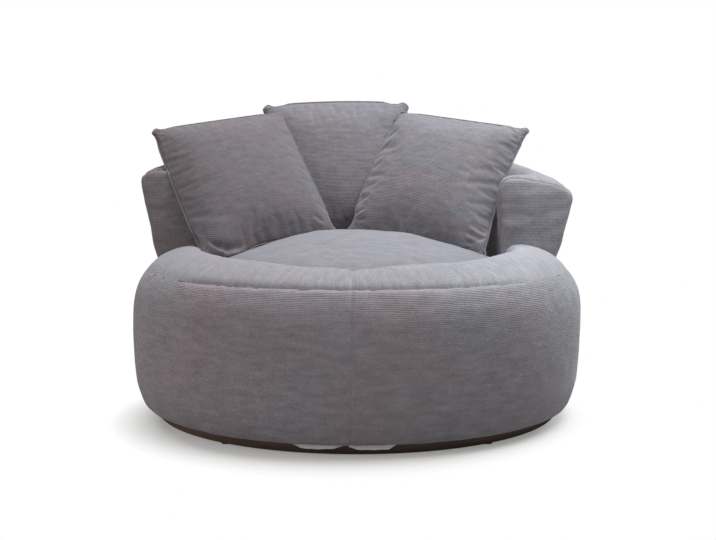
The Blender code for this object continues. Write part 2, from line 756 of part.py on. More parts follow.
def back_outline(angle):
    """The back's section, from its foot outside over the crown and down to the well floor."""
    top = back_height(angle)
    foot = SHOULDER_HEIGHT + 2 * GAP
    crown_low = top - BACK_CROWN_DROP
    points = []
    for lean, height in zip(BACK_OUTER_LEAN_SHARES, BACK_OUTER_HEIGHT_SHARES):
        reach = BACK_FOOT_RADIUS + lean * (BACK_TOP_RADIUS - BACK_FOOT_RADIUS)
        points.append((reach, foot + height * (crown_low - foot)))
    slumped = right_end_share(angle)
    inner_top = BACK_INNER_TOP_RADIUS - slumped * RIGHT_END_FULLNESS
    thick = BACK_TOP_RADIUS - inner_top
    for across, drop, end_drop in zip(CROWN_ACROSS_SHARES, CROWN_DROP_SHARES, RIGHT_END_DROP_SHARES):
        drop += slumped * (end_drop - drop)
        points.append((BACK_TOP_RADIUS - across * thick, top - drop * BACK_CROWN_DROP))
    inner_low = BACK_INNER_TOP_RADIUS - RIGHT_END_LOW_SHARE * slumped * RIGHT_END_FULLNESS
    for lean, height in zip(BACK_INNER_LEAN_SHARES, BACK_INNER_HEIGHT_SHARES):
        reach = WELL_RADIUS + lean * (inner_low - WELL_RADIUS)
        points.append((reach, WELL_FLOOR + height * (crown_low - WELL_FLOOR)))
    points.append((WELL_RADIUS, WELL_FLOOR))
    return points


def frame_inner(height):
    return FRAME_FOOT_RADIUS + FRAME_LEAN * (height - RIM_BOARD_TOP)


def leaning_section(low, high, inside, outside):
    """A section between two heights, with clearances from the frame's inner and outer faces."""
    return [
        (frame_inner(low) + FRAME_DEPTH - outside, low),
        (frame_inner(high) + FRAME_DEPTH - outside, high),
        (frame_inner(high) + inside, high),
        (frame_inner(low) + inside, low),
    ]


def build_back_frame():
    start = BACK_START + FRAME_START_MARGIN
    angles = arc_angles(start, 360.0 - start)
    low = RIM_BOARD_TOP + GAP
    rail_top = low + BACK_RAIL_HEIGHT
    shell_side = BACK_SHELL_THICK + 2 * GAP

    def bottom_rail(angle):
        return leaning_section(low, rail_top, GAP, shell_side)

    def top_rail(angle):
        high = back_height(angle) - BACK_RAIL_COVER
        return leaning_section(high - BACK_RAIL_HEIGHT, high, GAP, shell_side)

    def shell(angle):
        high = back_height(angle) - BACK_RAIL_COVER
        return leaning_section(low, high, FRAME_DEPTH - BACK_SHELL_THICK - GAP, GAP)

    def post(angle):
        high = back_height(angle) - BACK_RAIL_COVER - BACK_RAIL_HEIGHT - 2 * GAP
        return leaning_section(rail_top + GAP, high, GAP, shell_side)

    swept("back_bottom_rail", bottom_rail, angles, "plywood")
    swept("back_top_rail", top_rail, angles, "plywood")
    swept("back_shell", shell, angles, "plywood")
    for name, angle in zip(("back_post_right", "back_post_rear", "back_post_left"), POST_ANGLES):
        low_angle, high_angle = angle - POST_HALF_ANGLE, angle + POST_HALF_ANGLE
        grid = round(angle / STEP) * STEP
        inner = [grid] if low_angle < grid < high_angle else []
        swept(name, post, [low_angle, *inner, high_angle], "plywood")


def back_foam_section(angle):
    """Foam over both faces and the top of the frame."""
    padding = inset(back_outline(angle), COVER_THICK + GAP)
    high = back_height(angle) - BACK_RAIL_COVER + GAP
    low = RIM_BOARD_TOP + GAP
    inner_low = STRAP_TOP + GAP
    return [
        (padding[0][0], low),
        *padding[:-1],
        (padding[-1][0], inner_low),
        (frame_inner(inner_low) - GAP, inner_low),
        (frame_inner(high) - GAP, high),
        (frame_inner(high) + FRAME_DEPTH + GAP, high),
        (frame_inner(low) + FRAME_DEPTH + GAP, low),
    ]


def build_back_padding():
    angles = arc_angles(BACK_START, 360.0 - BACK_START)
    swept("back_foam", back_foam_section, angles, "foam")

    def outside(angle):
        outline = back_outline(angle)
        return panel_section(outline, 0, BACK_SEAM_POINT + 1, 0.0)

    def inside(angle):
        outline = back_outline(angle)
        return panel_section(outline, BACK_SEAM_POINT, len(outline), GAP)

    swept("back_cover_outside", outside, angles, "cord_fabric")
    swept("back_cover_inside", inside, angles, "cord_fabric")
    build_facing("back_facing_right", BACK_START, -1.0)
    build_facing("back_facing_left", 360.0 - BACK_START, 1.0)


def meeting_point(first, second):
    """Where two open outlines cross, with the number of the first outline's stretch that does."""
    for i, ((ar, az), (br, bz)) in enumerate(zip(first, first[1:])):
        for (cr, cz), (dr, dz) in zip(second, second[1:]):
            cross = (br - ar) * (dz - cz) - (bz - az) * (dr - cr)
            if cross == 0:
                continue
            s = ((cr - ar) * (dz - cz) - (cz - az) * (dr - cr)) / cross
            t = ((cr - ar) * (bz - az) - (cz - az) * (br - ar)) / cross
            if 0 <= s <= 1 and 0 <= t <= 1:
                return (ar + s * (br - ar), az + s * (bz - az)), i
    return None, 0


def facing_outline(angle):
    """The end of the back as it shows above the drum's top."""
    back = back_outline(angle)
    drum = [(r, z + FACING_CLEARANCE) for r, z in top_outline(angle)]
    outer, first = meeting_point(back, [(drum[0][0] + DRUM_RADIUS, drum[0][1]), *drum])
    inner, last = meeting_point(back[BACK_SEAM_POINT:], drum)
    floor = [p for p in reversed(drum) if inner[0] < p[0] < outer[0] and p[1] > drum[0][1]]
    return [outer, *back[first + 1 : BACK_SEAM_POINT + last + 1], inner, *floor]


def build_facing(name, angle, way):
    """The padded facing on one end of the back, domed forwards above the drum's top."""
    outline = facing_outline(angle)
    middle_r = sum(p[0] for p in outline) / len(outline)
    middle_z = sum(p[1] for p in outline) / len(outline)
    forward = way * Vector((math.cos(math.radians(angle)), math.sin(math.radians(angle)), 0.0))
    layers = [(1.0, GAP), (1.0, COVER_THICK)]
    for step, size in zip(FACING_STEP_SHARES, FACING_SIZE_SHARES):
        layers.append((size, COVER_THICK + step * (FACING_BULGE - COVER_THICK)))
    edit = bmesh.new()
    rings = []
    for size, reach in layers:
        ring = []
        for r, z in outline:
            radius = middle_r + (r - middle_r) * size
            height = middle_z + (z - middle_z) * size
            ring.append(edit.verts.new(round_point(radius, height, angle) + forward * reach))
        rings.append(ring)
    for lower, upper in zip(rings, rings[1:]):
        bridge(edit, lower, upper)
    caps = [edit.faces.new(rings[0]), edit.faces.new(rings[-1])]
    bmesh.ops.poke(edit, faces=caps)
    return finish_object(name, edit, "cord_fabric")


# Seat cushion


def cushion_outline():
    """Half the cushion's section, from the axis below round the edge and over the dome."""
    radius = WELL_RADIUS - CUSHION_CLEARANCE
    crown = CUSHION_CROWN - CUSHION_SEAM_HEIGHT
    corner = CUSHION_CORNER
    points = [
        (0.0, WELL_FLOOR),
        (radius - corner, WELL_FLOOR),
        (radius - corner * CORNER_CUT_SHARE, WELL_FLOOR + corner * CORNER_CUT_SHARE),
        (radius, WELL_FLOOR + corner),
        (radius, CUSHION_SEAM_HEIGHT),
    ]
    for across, height in zip(DOME_RADIUS_SHARES, DOME_HEIGHT_SHARES):
        points.append((across * radius, CUSHION_SEAM_HEIGHT + height * crown))
    return [*points, (0.0, CUSHION_CROWN)]


def build_seat_cushion():
    outline = cushion_outline()
    base = panel_section(outline, 0, CUSHION_SEAM_POINT + 1, 0.0)
    revolved("seat_cushion_bottom_panel", base, "cord_fabric")
    dome = panel_section(outline, CUSHION_SEAM_POINT, len(outline), GAP)
    half = len(dome) // 2
    revolved("seat_cushion_top_panel", [*dome[half:], *dome[:half]], "cord_fabric")
    revolved("seat_cushion_core", inset(outline, COVER_THICK + GAP), "foam")


# Pillows


def pillow_grid():
    """Steps along each side from -1 to 1, closer together towards the edges."""
    turns = [k / PILLOW_GRID_STEPS - 0.5 for k in range(PILLOW_GRID_STEPS + 1)]
    return [math.sin(math.pi * turn) for turn in turns]


def pillow_point(s, t, side, margin, sink):
    """A point of the pillow's face: s and t run from -1 to 1 across it."""
    half = side / 2
    size = (half - margin) / half
    draw = PILLOW_SIDE_DRAW / half
    x = half * size * s * (1.0 - draw * (1.0 - t * t))
    z = half * size * t * (1.0 - draw * (1.0 - s * s))
    swell = max(0.0, (1.0 - s * s) * (1.0 - t * t)) ** PILLOW_FULLNESS_SHARE
    return x, z, (PILLOW_THICK / 2 - sink) * swell


def grid_face(edit, face, side, margin, sink, seam):
    """One face's grid of vertices. face is -1 for the front and 1 for the back."""
    places = pillow_grid()
    rows = []
    for t in places:
        row = []
        for s in places:
            x, z, swell = pillow_point(s, t, side, margin, sink)
            row.append(edit.verts.new((x, face * (swell + seam), z)))
        rows.append(row)
    return rows


def fill_grid(edit, rows):
    for low, high in zip(rows, rows[1:]):
        for i in range(len(low) - 1):
            edit.faces.new((low[i], low[i + 1], high[i + 1], high[i]))


def rim_of(rows):
    """The grid's outermost vertices in order."""
    last = len(rows) - 1
    low = rows[0]
    right = [rows[k][last] for k in range(1, last)]
    high = list(reversed(rows[last]))
    left = [rows[k][0] for k in range(last - 1, 0, -1)]
    return [*low, *right, *high, *left]


def bridge(edit, first, second):
    count = len(first)
    for i in range(count):
        j = (i + 1) % count
        edit.faces.new((first[i], first[j], second[j], second[i]))


def pillow_panel(name, face, side):
    """One square of cloth, swollen by the filling, with its seam edge on the middle plane."""
    edit = bmesh.new()
    outer = grid_face(edit, face, side, 0.0, 0.0, GAP / 2)
    inner = grid_face(edit, face, side, PILLOW_SEAM_TURN, PILLOW_CLOTH, GAP / 2)
    fill_grid(edit, outer)
    fill_grid(edit, inner)
    bridge(edit, rim_of(outer), rim_of(inner))
    return finish_object(name, edit, "cord_fabric", 60.0)


def pillow_insert(name, side):
    edit = bmesh.new()
    margin = PILLOW_SEAM_TURN + PILLOW_FILL_CLEARANCE
    sink = PILLOW_CLOTH + PILLOW_FILL_CLEARANCE
    front = grid_face(edit, -1, side, margin, sink, GAP / 4)
    back = grid_face(edit, 1, side, margin, sink, GAP / 4)
    fill_grid(edit, front)
    fill_grid(edit, back)
    bridge(edit, rim_of(front), rim_of(back))
    return finish_object(name, edit, "fibre", 60.0)


def tree_of(part, matrix):
    points = [matrix @ v.co for v in part.data.vertices]
    part.data.calc_loop_triangles()
    faces = [tuple(t.vertices) for t in part.data.loop_triangles]
    return BVHTree.FromPolygons(points, faces)


def moved_until_touching(pieces, matrix, supports, way):
    """The placing matrix, moved in small steps until the next one would touch a support."""
    onward = Matrix.Translation(way * PILLOW_NUDGE)
    ahead = Matrix.Translation(way * (PILLOW_NUDGE + GAP))
    for _ in range(PILLOW_MOST_NUDGES):
        trees = [tree_of(piece, ahead @ matrix) for piece in pieces]
        if any(tree.overlap(support) for tree in trees for support in supports):
            break
        matrix = onward @ matrix
    return matrix


def build_pillow(name, supports):
    """A pillow set down on the cushion and pushed back until it leans on what stands behind it."""
    side = PILLOW_SIDES[name]
    pieces = [
        pillow_panel(f"{name}_front_panel", -1, side),
        pillow_panel(f"{name}_back_panel", 1, side),
    ]
    filling = pillow_insert(f"{name}_insert", side)
    turn, lean, roll = (math.radians(angle) for angle in PILLOW_TILTS[name])
    across, behind = (share * WELL_RADIUS for share in PILLOW_PLACE_SHARES[name])
    start = Vector((across, behind, CUSHION_CROWN + PILLOW_START_SHARE * side))
    matrix = Matrix.Translation(start) @ Euler((lean, roll, turn), "YXZ").to_matrix().to_4x4()
    down = Vector((0.0, 0.0, -1.0))
    back = Vector((-math.sin(turn), math.cos(turn), 0.0))
    held = [tree_of(support, support.matrix_world) for support in supports]
    for way in (down, back, down):
        matrix = moved_until_touching(pieces, matrix, held, way)
    for piece in (*pieces, filling):
        piece.matrix_world = matrix
    return pieces


def build_pillows():
    bpy.context.view_layer.update()
    supports = [
        bpy.data.objects[name]
        for name in (
            "seat_cushion_top_panel",
            "drum_cover_top_left",
            "drum_cover_top_right",
            "back_cover_inside",
            "back_cover_outside",
            "back_facing_left",
            "back_facing_right",
        )
    ]
    for name in PILLOW_PLACE_SHARES:
        supports += build_pillow(name, supports)
        bpy.context.view_layer.update()


def main():
    clear_scene()
    MATERIALS.update(make_materials())
    build_plinth()
    build_swivel()
    build_drum_frame()
    build_seat_support()
    build_drum_padding()
    build_hem_lining()
    build_back_frame()
    build_back_padding()
    build_seat_cushion()
    build_pillows()


main()
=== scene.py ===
"""Looks of the round padded swivel chair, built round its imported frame. Metres, +Z up, front at -Y.

Angles round the chair are in degrees from the front (-Y) towards +X. Left and right are as the front view
shows them, so +X is the chair's right here and the sitter's left hand.
"""

import json
import math

import bmesh
import bpy
import numpy as np
from mathutils import Euler, Matrix, Vector
from mathutils.bvhtree import BVHTree


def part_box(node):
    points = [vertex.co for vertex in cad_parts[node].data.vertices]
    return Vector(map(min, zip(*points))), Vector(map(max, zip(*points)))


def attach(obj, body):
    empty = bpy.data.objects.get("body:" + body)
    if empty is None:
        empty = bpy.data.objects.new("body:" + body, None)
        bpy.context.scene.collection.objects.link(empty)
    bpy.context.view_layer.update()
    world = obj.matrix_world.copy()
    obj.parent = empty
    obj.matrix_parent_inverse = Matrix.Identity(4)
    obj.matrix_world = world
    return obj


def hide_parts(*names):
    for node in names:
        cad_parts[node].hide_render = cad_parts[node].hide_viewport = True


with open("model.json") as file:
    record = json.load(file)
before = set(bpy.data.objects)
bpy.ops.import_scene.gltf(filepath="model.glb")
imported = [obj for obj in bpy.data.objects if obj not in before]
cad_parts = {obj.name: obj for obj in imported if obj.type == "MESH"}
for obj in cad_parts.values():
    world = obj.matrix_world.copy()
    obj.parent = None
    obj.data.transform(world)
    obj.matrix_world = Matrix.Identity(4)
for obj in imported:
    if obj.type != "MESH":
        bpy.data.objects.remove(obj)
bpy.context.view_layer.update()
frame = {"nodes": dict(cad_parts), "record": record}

# The photograph's frame and the camera fitted to it
PHOTO_WIDTH_PX = 716
CAMERA_FOCAL_PX = 1090.0
CAMERA_PLACE = (0.003, -3.2, 0.708)
CAMERA_DOWN = 5.47
SENSOR_WIDTH = 36.0

# How finely curves, panels and turned forms are cut
CURVE_STEPS = 20
TURN_STEP = 0.9
SIDE_POINTS = 110
TOP_POINTS = 90
OUTSIDE_POINTS = 60
INSIDE_POINTS = 110
FACING_POINTS = 150
FACING_LAYERS = 18
CLOTH_BACK_POINTS = 14
CUSHION_POINTS = 170
CUSHION_TURNS = 300
FELT_POINTS = 80
FELT_TURNS = 160
PLINTH_TURNS = 240
DUST_COVER_POINTS = 30
DUST_COVER_TURNS = 180

# Where the back starts, on either side of the front
BACK_START = 99.0

# Padded drum, as the frame has it
LIP_INNER_RADIUS = 0.589
LIP_RADIUS = 0.609
LIP_HEIGHT = 0.031
DRUM_RADIUS = 0.649
SHOULDER_RADIUS = 0.607
SHOULDER_HEIGHT = 0.413
CREST_HEIGHT = 0.450
CREST_RISE = 0.024
WELL_RADIUS = 0.4385
WELL_FLOOR = 0.3644
LOWER_HEIGHT_SHARES = (0.03, 0.10, 0.20, 0.38, 0.55)
LOWER_BULGE_SHARES = (0.27, 0.53, 0.79, 0.95, 1.0)
UPPER_HEIGHT_SHARES = (0.70, 0.82, 0.90, 0.96)
UPPER_BULGE_SHARES = (0.95, 0.80, 0.57, 0.27)
TOP_ACROSS_SHARES = (0.14, 0.31, 0.52, 0.73, 0.86, 0.95, 0.99)
TOP_HEIGHT_SHARES = (0.42, 0.72, 0.93, 1.0, 0.92, 0.60, 0.0)
CREST_ANGLES = (0.0, 18.0, 40.0, 60.0, 80.0, 99.0)
CREST_RISE_SHARES = (0.0, 0.35, 0.50, 1.0, 1.0, 0.90)
SHOULDER_POINT = 2 + len(LOWER_HEIGHT_SHARES) + len(UPPER_HEIGHT_SHARES)
FRONT_SEAM = -1.2
TOP_BAND_END = BACK_START + 0.6
CLOTH_DEPTH = 0.006
BORDER_ANGLE = 62.0

# The shoulder seam: its groove, the welt beside it, the pulls into it, and where round the drum it fades
SEAM_GROOVE = 0.0040
SEAM_WELT = 0.0012
SEAM_PULL = 0.0011
SEAM_FADE_START = 38.0
SEAM_FADE_SPAN = 14.0
SEAM_FADE_SHARE = 0.86
PANEL_SEAM_DEPTH = 0.0022
BACK_SEAM_DEPTH = 0.0030

# Wrap-around back, mostly as the frame has it; its right end is fuller than the frame's
BACK_FOOT_RADIUS = 0.6015
BACK_TOP_RADIUS = 0.664
BACK_INNER_TOP_RADIUS = 0.530
BACK_END_HEIGHT = 0.697
BACK_REAR_HEIGHT = 0.785
BACK_RIGHT_SLUMP = 0.050
BACK_CROWN_DROP = 0.036
BACK_OUTER_LEAN_SHARES = (0.0, 0.34, 0.66, 0.90)
BACK_OUTER_HEIGHT_SHARES = (0.0, 0.25, 0.55, 0.82)
CROWN_ACROSS_SHARES = (0.0, 0.07, 0.25, 0.50, 0.75, 0.93, 1.0)
CROWN_DROP_SHARES = (1.0, 0.40, 0.06, 0.12, 0.75, 1.7, 2.6)
BACK_INNER_LEAN_SHARES = (0.68, 0.34, 0.08, 0.0)
BACK_INNER_HEIGHT_SHARES = (0.66, 0.36, 0.14, 0.06)
BACK_SEAM_POINT = 5
RIGHT_END_FULLNESS = 0.104
RIGHT_END_LOW_SHARE = 1.0
RIGHT_END_SPAN = 18.0
RIGHT_END_DROP_SHARES = (1.0, 0.30, -0.25, -0.55, -0.80, -0.50, 0.90)
LEFT_END_FULLNESS = 0.012
LEFT_END_DROP_SHARES = (1.0, 0.42, 0.04, -0.06, 0.05, 0.60, 1.7)
FACING_BULGE = 0.020
FACING_SUNK = 0.002
RIGHT_FACING_EDGE = 0.85
LEFT_FACING_EDGE = 0.55
END_ROUNDING = 0.016
END_DRAWN_IN = 0.007

# Seat cushion
CUSHION_RADIUS = 0.4373
CUSHION_CROWN = 0.523
CUSHION_SEAM_HEIGHT = 0.408
CUSHION_CORNER = 0.018
CUSHION_LIFT = 0.001
CUSHION_SEAM_DEPTH = 0.003
DOME_RADIUS_SHARES = (0.98, 0.91, 0.76, 0.54, 0.28, 0.0)
DOME_HEIGHT_SHARES = (0.10, 0.24, 0.44, 0.68, 0.92, 1.0)

# Scatter pillows: side, tilt (turn, lean and roll in degrees), how far the left, right, lower and upper
# edges bow out, how far each corner is pulled (lower left, lower right, upper right, upper left), how deep it
# sinks in, how far the lower edge sags, where and how widely, the spare cloth, the gathers and the seed
PILLOWS = {
    "centre": {
        "side": 0.485, "tilt": (-0.4, -21.0, -1.2), "bows": (0.004, 0.004, 0.0, 0.011),
        "pulls": ((0.0, 0.0), (0.0, 0.0), (-0.004, 0.0), (0.0, 0.0)), "sink": 0.002,
        "sag": (0.0, 0.0, 1.0), "spare": 0.022, "gathers": 0.0008, "seed": 71,
    },
    "left": {
        "side": 0.460, "tilt": (27.1, -37.7, -7.8), "bows": (0.002, 0.002, 0.004, 0.001),
        "pulls": ((-0.010, 0.006), (-0.012, -0.012), (-0.005, 0.015), (-0.002, -0.009)), "sink": 0.008,
        "sag": (0.060, -0.68, 0.32), "spare": 0.018, "gathers": 0.0009, "seed": 72,
    },
    "right": {
        "side": 0.460, "tilt": (-20.3, -34.5, 8.8), "bows": (0.012, -0.022, 0.002, 0.0),
        "pulls": ((0.0, -0.010), (-0.002, -0.020), (0.0, -0.004), (0.010, 0.006)), "sink": 0.008,
        "sag": (0.006, 0.1, 0.5), "spare": 0.032, "gathers": 0.0026, "seed": 73,
    },
}
PILLOW_FLAT_THICK = 0.116
PILLOW_FULLNESS = 0.52
PILLOW_STEPS = 80
PILLOW_CLEARANCE = 0.001
INSIDE_SHARE = 0.7
PLUMP_FRAMES = 20
PLUMP_MOST = 0.028
SEAM_RIDGE_SIDES = 8
SEAM_RIDGE_REACH = 0.0026
SEAM_RIDGE_HALF_THICK = 0.0015
SEAM_RIDGE_OFFSET = 0.0004
SEAM_RIDGE_LENGTH = 1.8
GATHER_PITCH = 0.017
GATHER_PLACE = 0.014
GATHER_REACH = 0.016
# A pillow's ear: distances in from the corner's tip, with half its width and thickness there
EAR_PLACES = (0.0, 0.002, 0.005, 0.010, 0.016, 0.022, 0.028, 0.034, 0.044, 0.058)
EAR_WIDTHS = (0.007, 0.0090, 0.0115, 0.0135, 0.0155, 0.0185, 0.0235, 0.0300, 0.0415, 0.058)
EAR_THICKNESSES = (0.0, 0.004, 0.0070, 0.0090, 0.0100, 0.0110, 0.0125, 0.0150, 0.0195, 0.026)
EAR_BLEND = 0.018
EAR_FOLD_DEPTH = 0.0022
EAR_FOLD_PITCH = 0.0085
EAR_CRUMPLE_SIZE = 0.016
# Creases on the fronts of the pillows: both ends in the pillow's plane, depth, width and ridge
CREASES = {
    "centre": [],
    "left": [
        ((-0.236, -0.190), (-0.110, -0.212), 0.011, 0.0075, 0.8),
        ((-0.205, -0.118), (-0.105, -0.150), 0.002, 0.0110, 0.5),
        ((0.168, -0.186), (0.225, -0.222), 0.005, 0.0070, 0.5),
    ],
    "right": [
        ((0.172, -0.152), (0.204, -0.158), 0.004, 0.0050, 0.5),
        ((0.172, -0.178), (0.210, -0.182), 0.005, 0.0050, 0.6),
        ((0.178, -0.202), (0.214, -0.205), 0.005, 0.0045, 0.6),
        ((-0.232, -0.176), (-0.190, -0.160), 0.004, 0.0050, 0.6),
        ((-0.228, -0.205), (-0.180, -0.190), 0.005, 0.0050, 0.6),
        ((0.190, 0.205), (0.226, 0.222), 0.004, 0.0050, 0.6),
    ],
}

# Plinth, hem strips (start and end in degrees, then how far each hangs along its length) and what is under
# the seat
PLINTH_WALL = 0.026
PLINTH_EDGE = 0.0025
LEFT_HEM_STRIP = (-15.7, -3.4, (0.003, 0.013, 0.0145, 0.0145, 0.0135, 0.012, 0.005))
RIGHT_HEM_STRIP = (-1.9, 9.6, (0.007, 0.0135, 0.0145, 0.0145, 0.0145, 0.014, 0.003))
HEM_STRIP_GAP = 0.0008
HEM_STRIP_THICK = 0.0011
HEM_STRIP_TUCK = 0.005
HEM_STRIP_POINTS = 7
HEM_STRIP_TURNS = 60
FELT_EDGE = 0.0004
FELT_SAG = 0.0004
STRAP_STEP = 0.150
STRAPS_EACH_WAY = 5
STRAP_WIDTH = 0.060
STRAP_THICK = 0.0010
STRAP_WEAVE = 0.00025
STRAP_POINTS = 90
DUST_COVER_INNER_RADIUS = 0.166
DUST_COVER_EDGE_GAP = 0.0005
DUST_COVER_SLACK = 0.0009

# Cord cloth: the cool and the warm colour of each piece's pile
CORD_COLOURS = {
    "drum_side": ((0.256, 0.252, 0.278), (0.256, 0.213, 0.228)),
    # The top band's colours are a lighter copy of the side's cloth: painted light on the upward-facing top.
    "drum_top": ((0.288, 0.292, 0.320), (0.284, 0.266, 0.282)),
    "back": ((0.238, 0.236, 0.258), (0.240, 0.206, 0.212)),
    "seat": ((0.228, 0.230, 0.256), (0.226, 0.210, 0.226)),
    # The left pillow is darker than the others, partly painted shade and partly the pile's own tone.
    "left": ((0.130, 0.128, 0.143), (0.136, 0.114, 0.120)),
    "centre": ((0.178, 0.178, 0.198), (0.178, 0.158, 0.168)),
    "right": ((0.182, 0.180, 0.200), (0.192, 0.164, 0.170)),
}

# Grained finishes: slot, name, colour, the grain's scale and depth, least and most roughness, metal, bump
GRAINED_FINISHES = (
    # The hem strips' lining is a far lighter copy of the pale lining below it: painted light, as the strips
    # hang in the drum's shade.
    ("hem_lining", "hem_lining", (0.84, 0.82, 0.78), 700.0, 0.10, (0.8, 0.95), 0.0, 0.0002),
    ("lining", "pale_lining", (0.52, 0.49, 0.45), 700.0, 0.12, (0.8, 0.95), 0.0, 0.0002),
    ("felt", "deck_felt", (0.10, 0.10, 0.105), 500.0, 0.35, (0.9, 1.0), 0.0, 0.0006),
    ("webbing", "woven_webbing", (0.07, 0.07, 0.08), 600.0, 0.3, (0.75, 0.9), 0.0, 0.0005),
    ("zinc_steel", "zinc_steel", (0.55, 0.56, 0.58), 150.0, 0.1, (0.3, 0.5), 1.0, 0.0002),
    ("nylon", "nylon", (0.07, 0.07, 0.07), 300.0, 0.1, (0.4, 0.55), 0.0, 0.0002),
)

# Floor, world and lamps
FLOOR_REACH = 30.0
FLOOR_COLOUR = (0.50, 0.48, 0.46, 1.0)
FLOOR_SEEN_COLOUR = (0.69, 0.68, 0.66, 1.0)
FLOOR_GLOW_COLOUR = (1.0, 1.0, 0.99, 1.0)
FLOOR_GLOW = 0.22
SHADOW_CENTRE = (-0.015, -0.12, 0.0)
SHADOW_FADES = (0.535, 0.68)
WORLD_STRENGTH = 0.37
LAMPS = {
    "overhead_softbox": {
        "place": (0.85, 0.05, 2.9), "aim": (0.0, 0.0, 0.4), "size": (2.4, 2.0), "power": 112.0,
        "colour": (0.95, 0.97, 1.0),
    },
    "left_window": {
        "place": (-2.6, -2.4, 1.2), "aim": (0.0, 0.0, 0.3), "size": (1.8, 1.6), "power": 14.0,
        "colour": (1.0, 0.96, 0.94),
    },
}

# Each swept panel's points per ring, on its outside and in all
PANEL_RINGS = {}


# Curves and surfaces


def smooth_line(points, count, first=0, last=None):
    """Evenly spaced points on a smooth curve through the given ones, from point first to point last."""
    place = np.array(points, float)
    last = len(place) - 1 if last is None else last
    held = np.vstack([2 * place[0] - place[1], place, 2 * place[-1] - place[-2]])
    share = np.linspace(0.0, 1.0, CURVE_STEPS, endpoint=False)[:, None]
    runs = []
    for k in range(first, last):
        a, b, c, d = held[k : k + 4]
        bend = (2 * a - 5 * b + 4 * c - d) * share**2 + (3 * b - a - 3 * c + d) * share**3
        runs.append(0.5 * (2 * b + (c - a) * share + bend))
    line = np.vstack([*runs, place[last : last + 1]])
    steps = np.linalg.norm(np.diff(line, axis=0), axis=1)
    reach = np.concatenate([[0.0], np.cumsum(steps)])
    places = np.linspace(0.0, reach[-1], count)
    return np.stack([np.interp(places, reach, line[:, k]) for k in range(line.shape[1])], axis=1)


def outward(section):
    """Unit normals on the right-hand side of a section's run, which is its outside."""
    along = np.gradient(section, axis=0)
    along /= np.linalg.norm(along, axis=1)[:, None]
    return np.stack([along[:, 1], -along[:, 0]], axis=1)


def round_points(radius, height, angle):
    """Points at these angles from the front, in degrees."""
    turn = np.radians(angle)
    return np.stack([radius * np.sin(turn), -radius * np.cos(turn), height * np.ones_like(turn)], axis=-1)


def swells(points, size, seed, waves=18):
    """A smooth random field of about -1 to 1 whose lumps have this size."""
    draw = np.random.default_rng(seed)
    dimensions = points.shape[-1]
    total = np.zeros(points.shape[:-1])
    for _ in range(waves):
        way = draw.normal(size=dimensions)
        way /= np.linalg.norm(way)
        length = size * draw.uniform(0.7, 1.8)
        total += np.sin(points @ way * (math.tau / length) + draw.uniform(0, math.tau))
    return total / math.sqrt(waves) * 0.8


def eased(share):
    """A share of 0 to 1 with a soft start and end."""
    return share * share * (3.0 - 2.0 * share)


def near(distance, width):
    """1 at a seam, falling off smoothly over this width."""
    return np.exp(-((np.abs(distance) / width) ** 1.5))


def cloth_object(name, points, faces, uv, material):
    """A smooth-shaded mesh with its cloth directions, in metres, as its UV map."""
    mesh = bpy.data.meshes.new(name)
    mesh.from_pydata([tuple(p) for p in points], [], faces)
    layer = mesh.uv_layers.new(name="cloth")
    corner = np.zeros(len(mesh.loops), np.int32)
    mesh.loops.foreach_get("vertex_index", corner)
    layer.data.foreach_set("uv", np.asarray(uv, np.float32)[corner].ravel())
    mesh.materials.append(material)
    mesh.shade_smooth()
    mesh.update()
    mesh.set_sharp_from_angle(angle=math.radians(BORDER_ANGLE))
    piece = bpy.data.objects.new(name, mesh)
    bpy.context.scene.collection.objects.link(piece)
    return piece


def loop_faces(turns, count, full_turn=False):
    """Quads between rings of points, with both ends closed unless the rings go all the way round."""
    faces = []
    last = turns if full_turn else turns - 1
    for i in range(last):
        a, b = i * count, ((i + 1) % turns) * count
        for j in range(count):
            n = (j + 1) % count
            faces.append((a + j, a + n, b + n, b + j))
    if not full_turn:
        faces.append(tuple(reversed(range(count))))
        faces.append(tuple(range((turns - 1) * count, turns * count)))
    return faces


def capped_faces(turns, count):
    """Faces of a form turned round the axis: its rings, then a middle point before and one after them."""
    first, last = turns * count, turns * count + 1
    faces = []
    for i in range(turns):
        a, b = i * count, ((i + 1) % turns) * count
        faces += [(a + j, b + j, b + j + 1, a + j + 1) for j in range(count - 1)]
        faces.append((a, first, b))
        faces.append((b + count - 1, last, a + count - 1))
    return faces


def turn_grid(turns, count):
    """The angle of every point of a form turned all the way round."""
    return np.repeat(np.linspace(0.0, 360.0, turns, endpoint=False)[:, None], count, axis=1)


def turn_angles(start, end):
    """Angles from start to end, finer beside both ends, where the seams are."""
    fine = np.array([0.0, 0.08, 0.16, 0.25, 0.36, 0.5, 0.7, 0.95, 1.25, 1.6])
    middle = np.linspace(start + 2.0, end - 2.0, int((end - start - 4.0) / TURN_STEP) + 1)
    return np.concatenate([start + fine, middle, (end - fine)[::-1]])


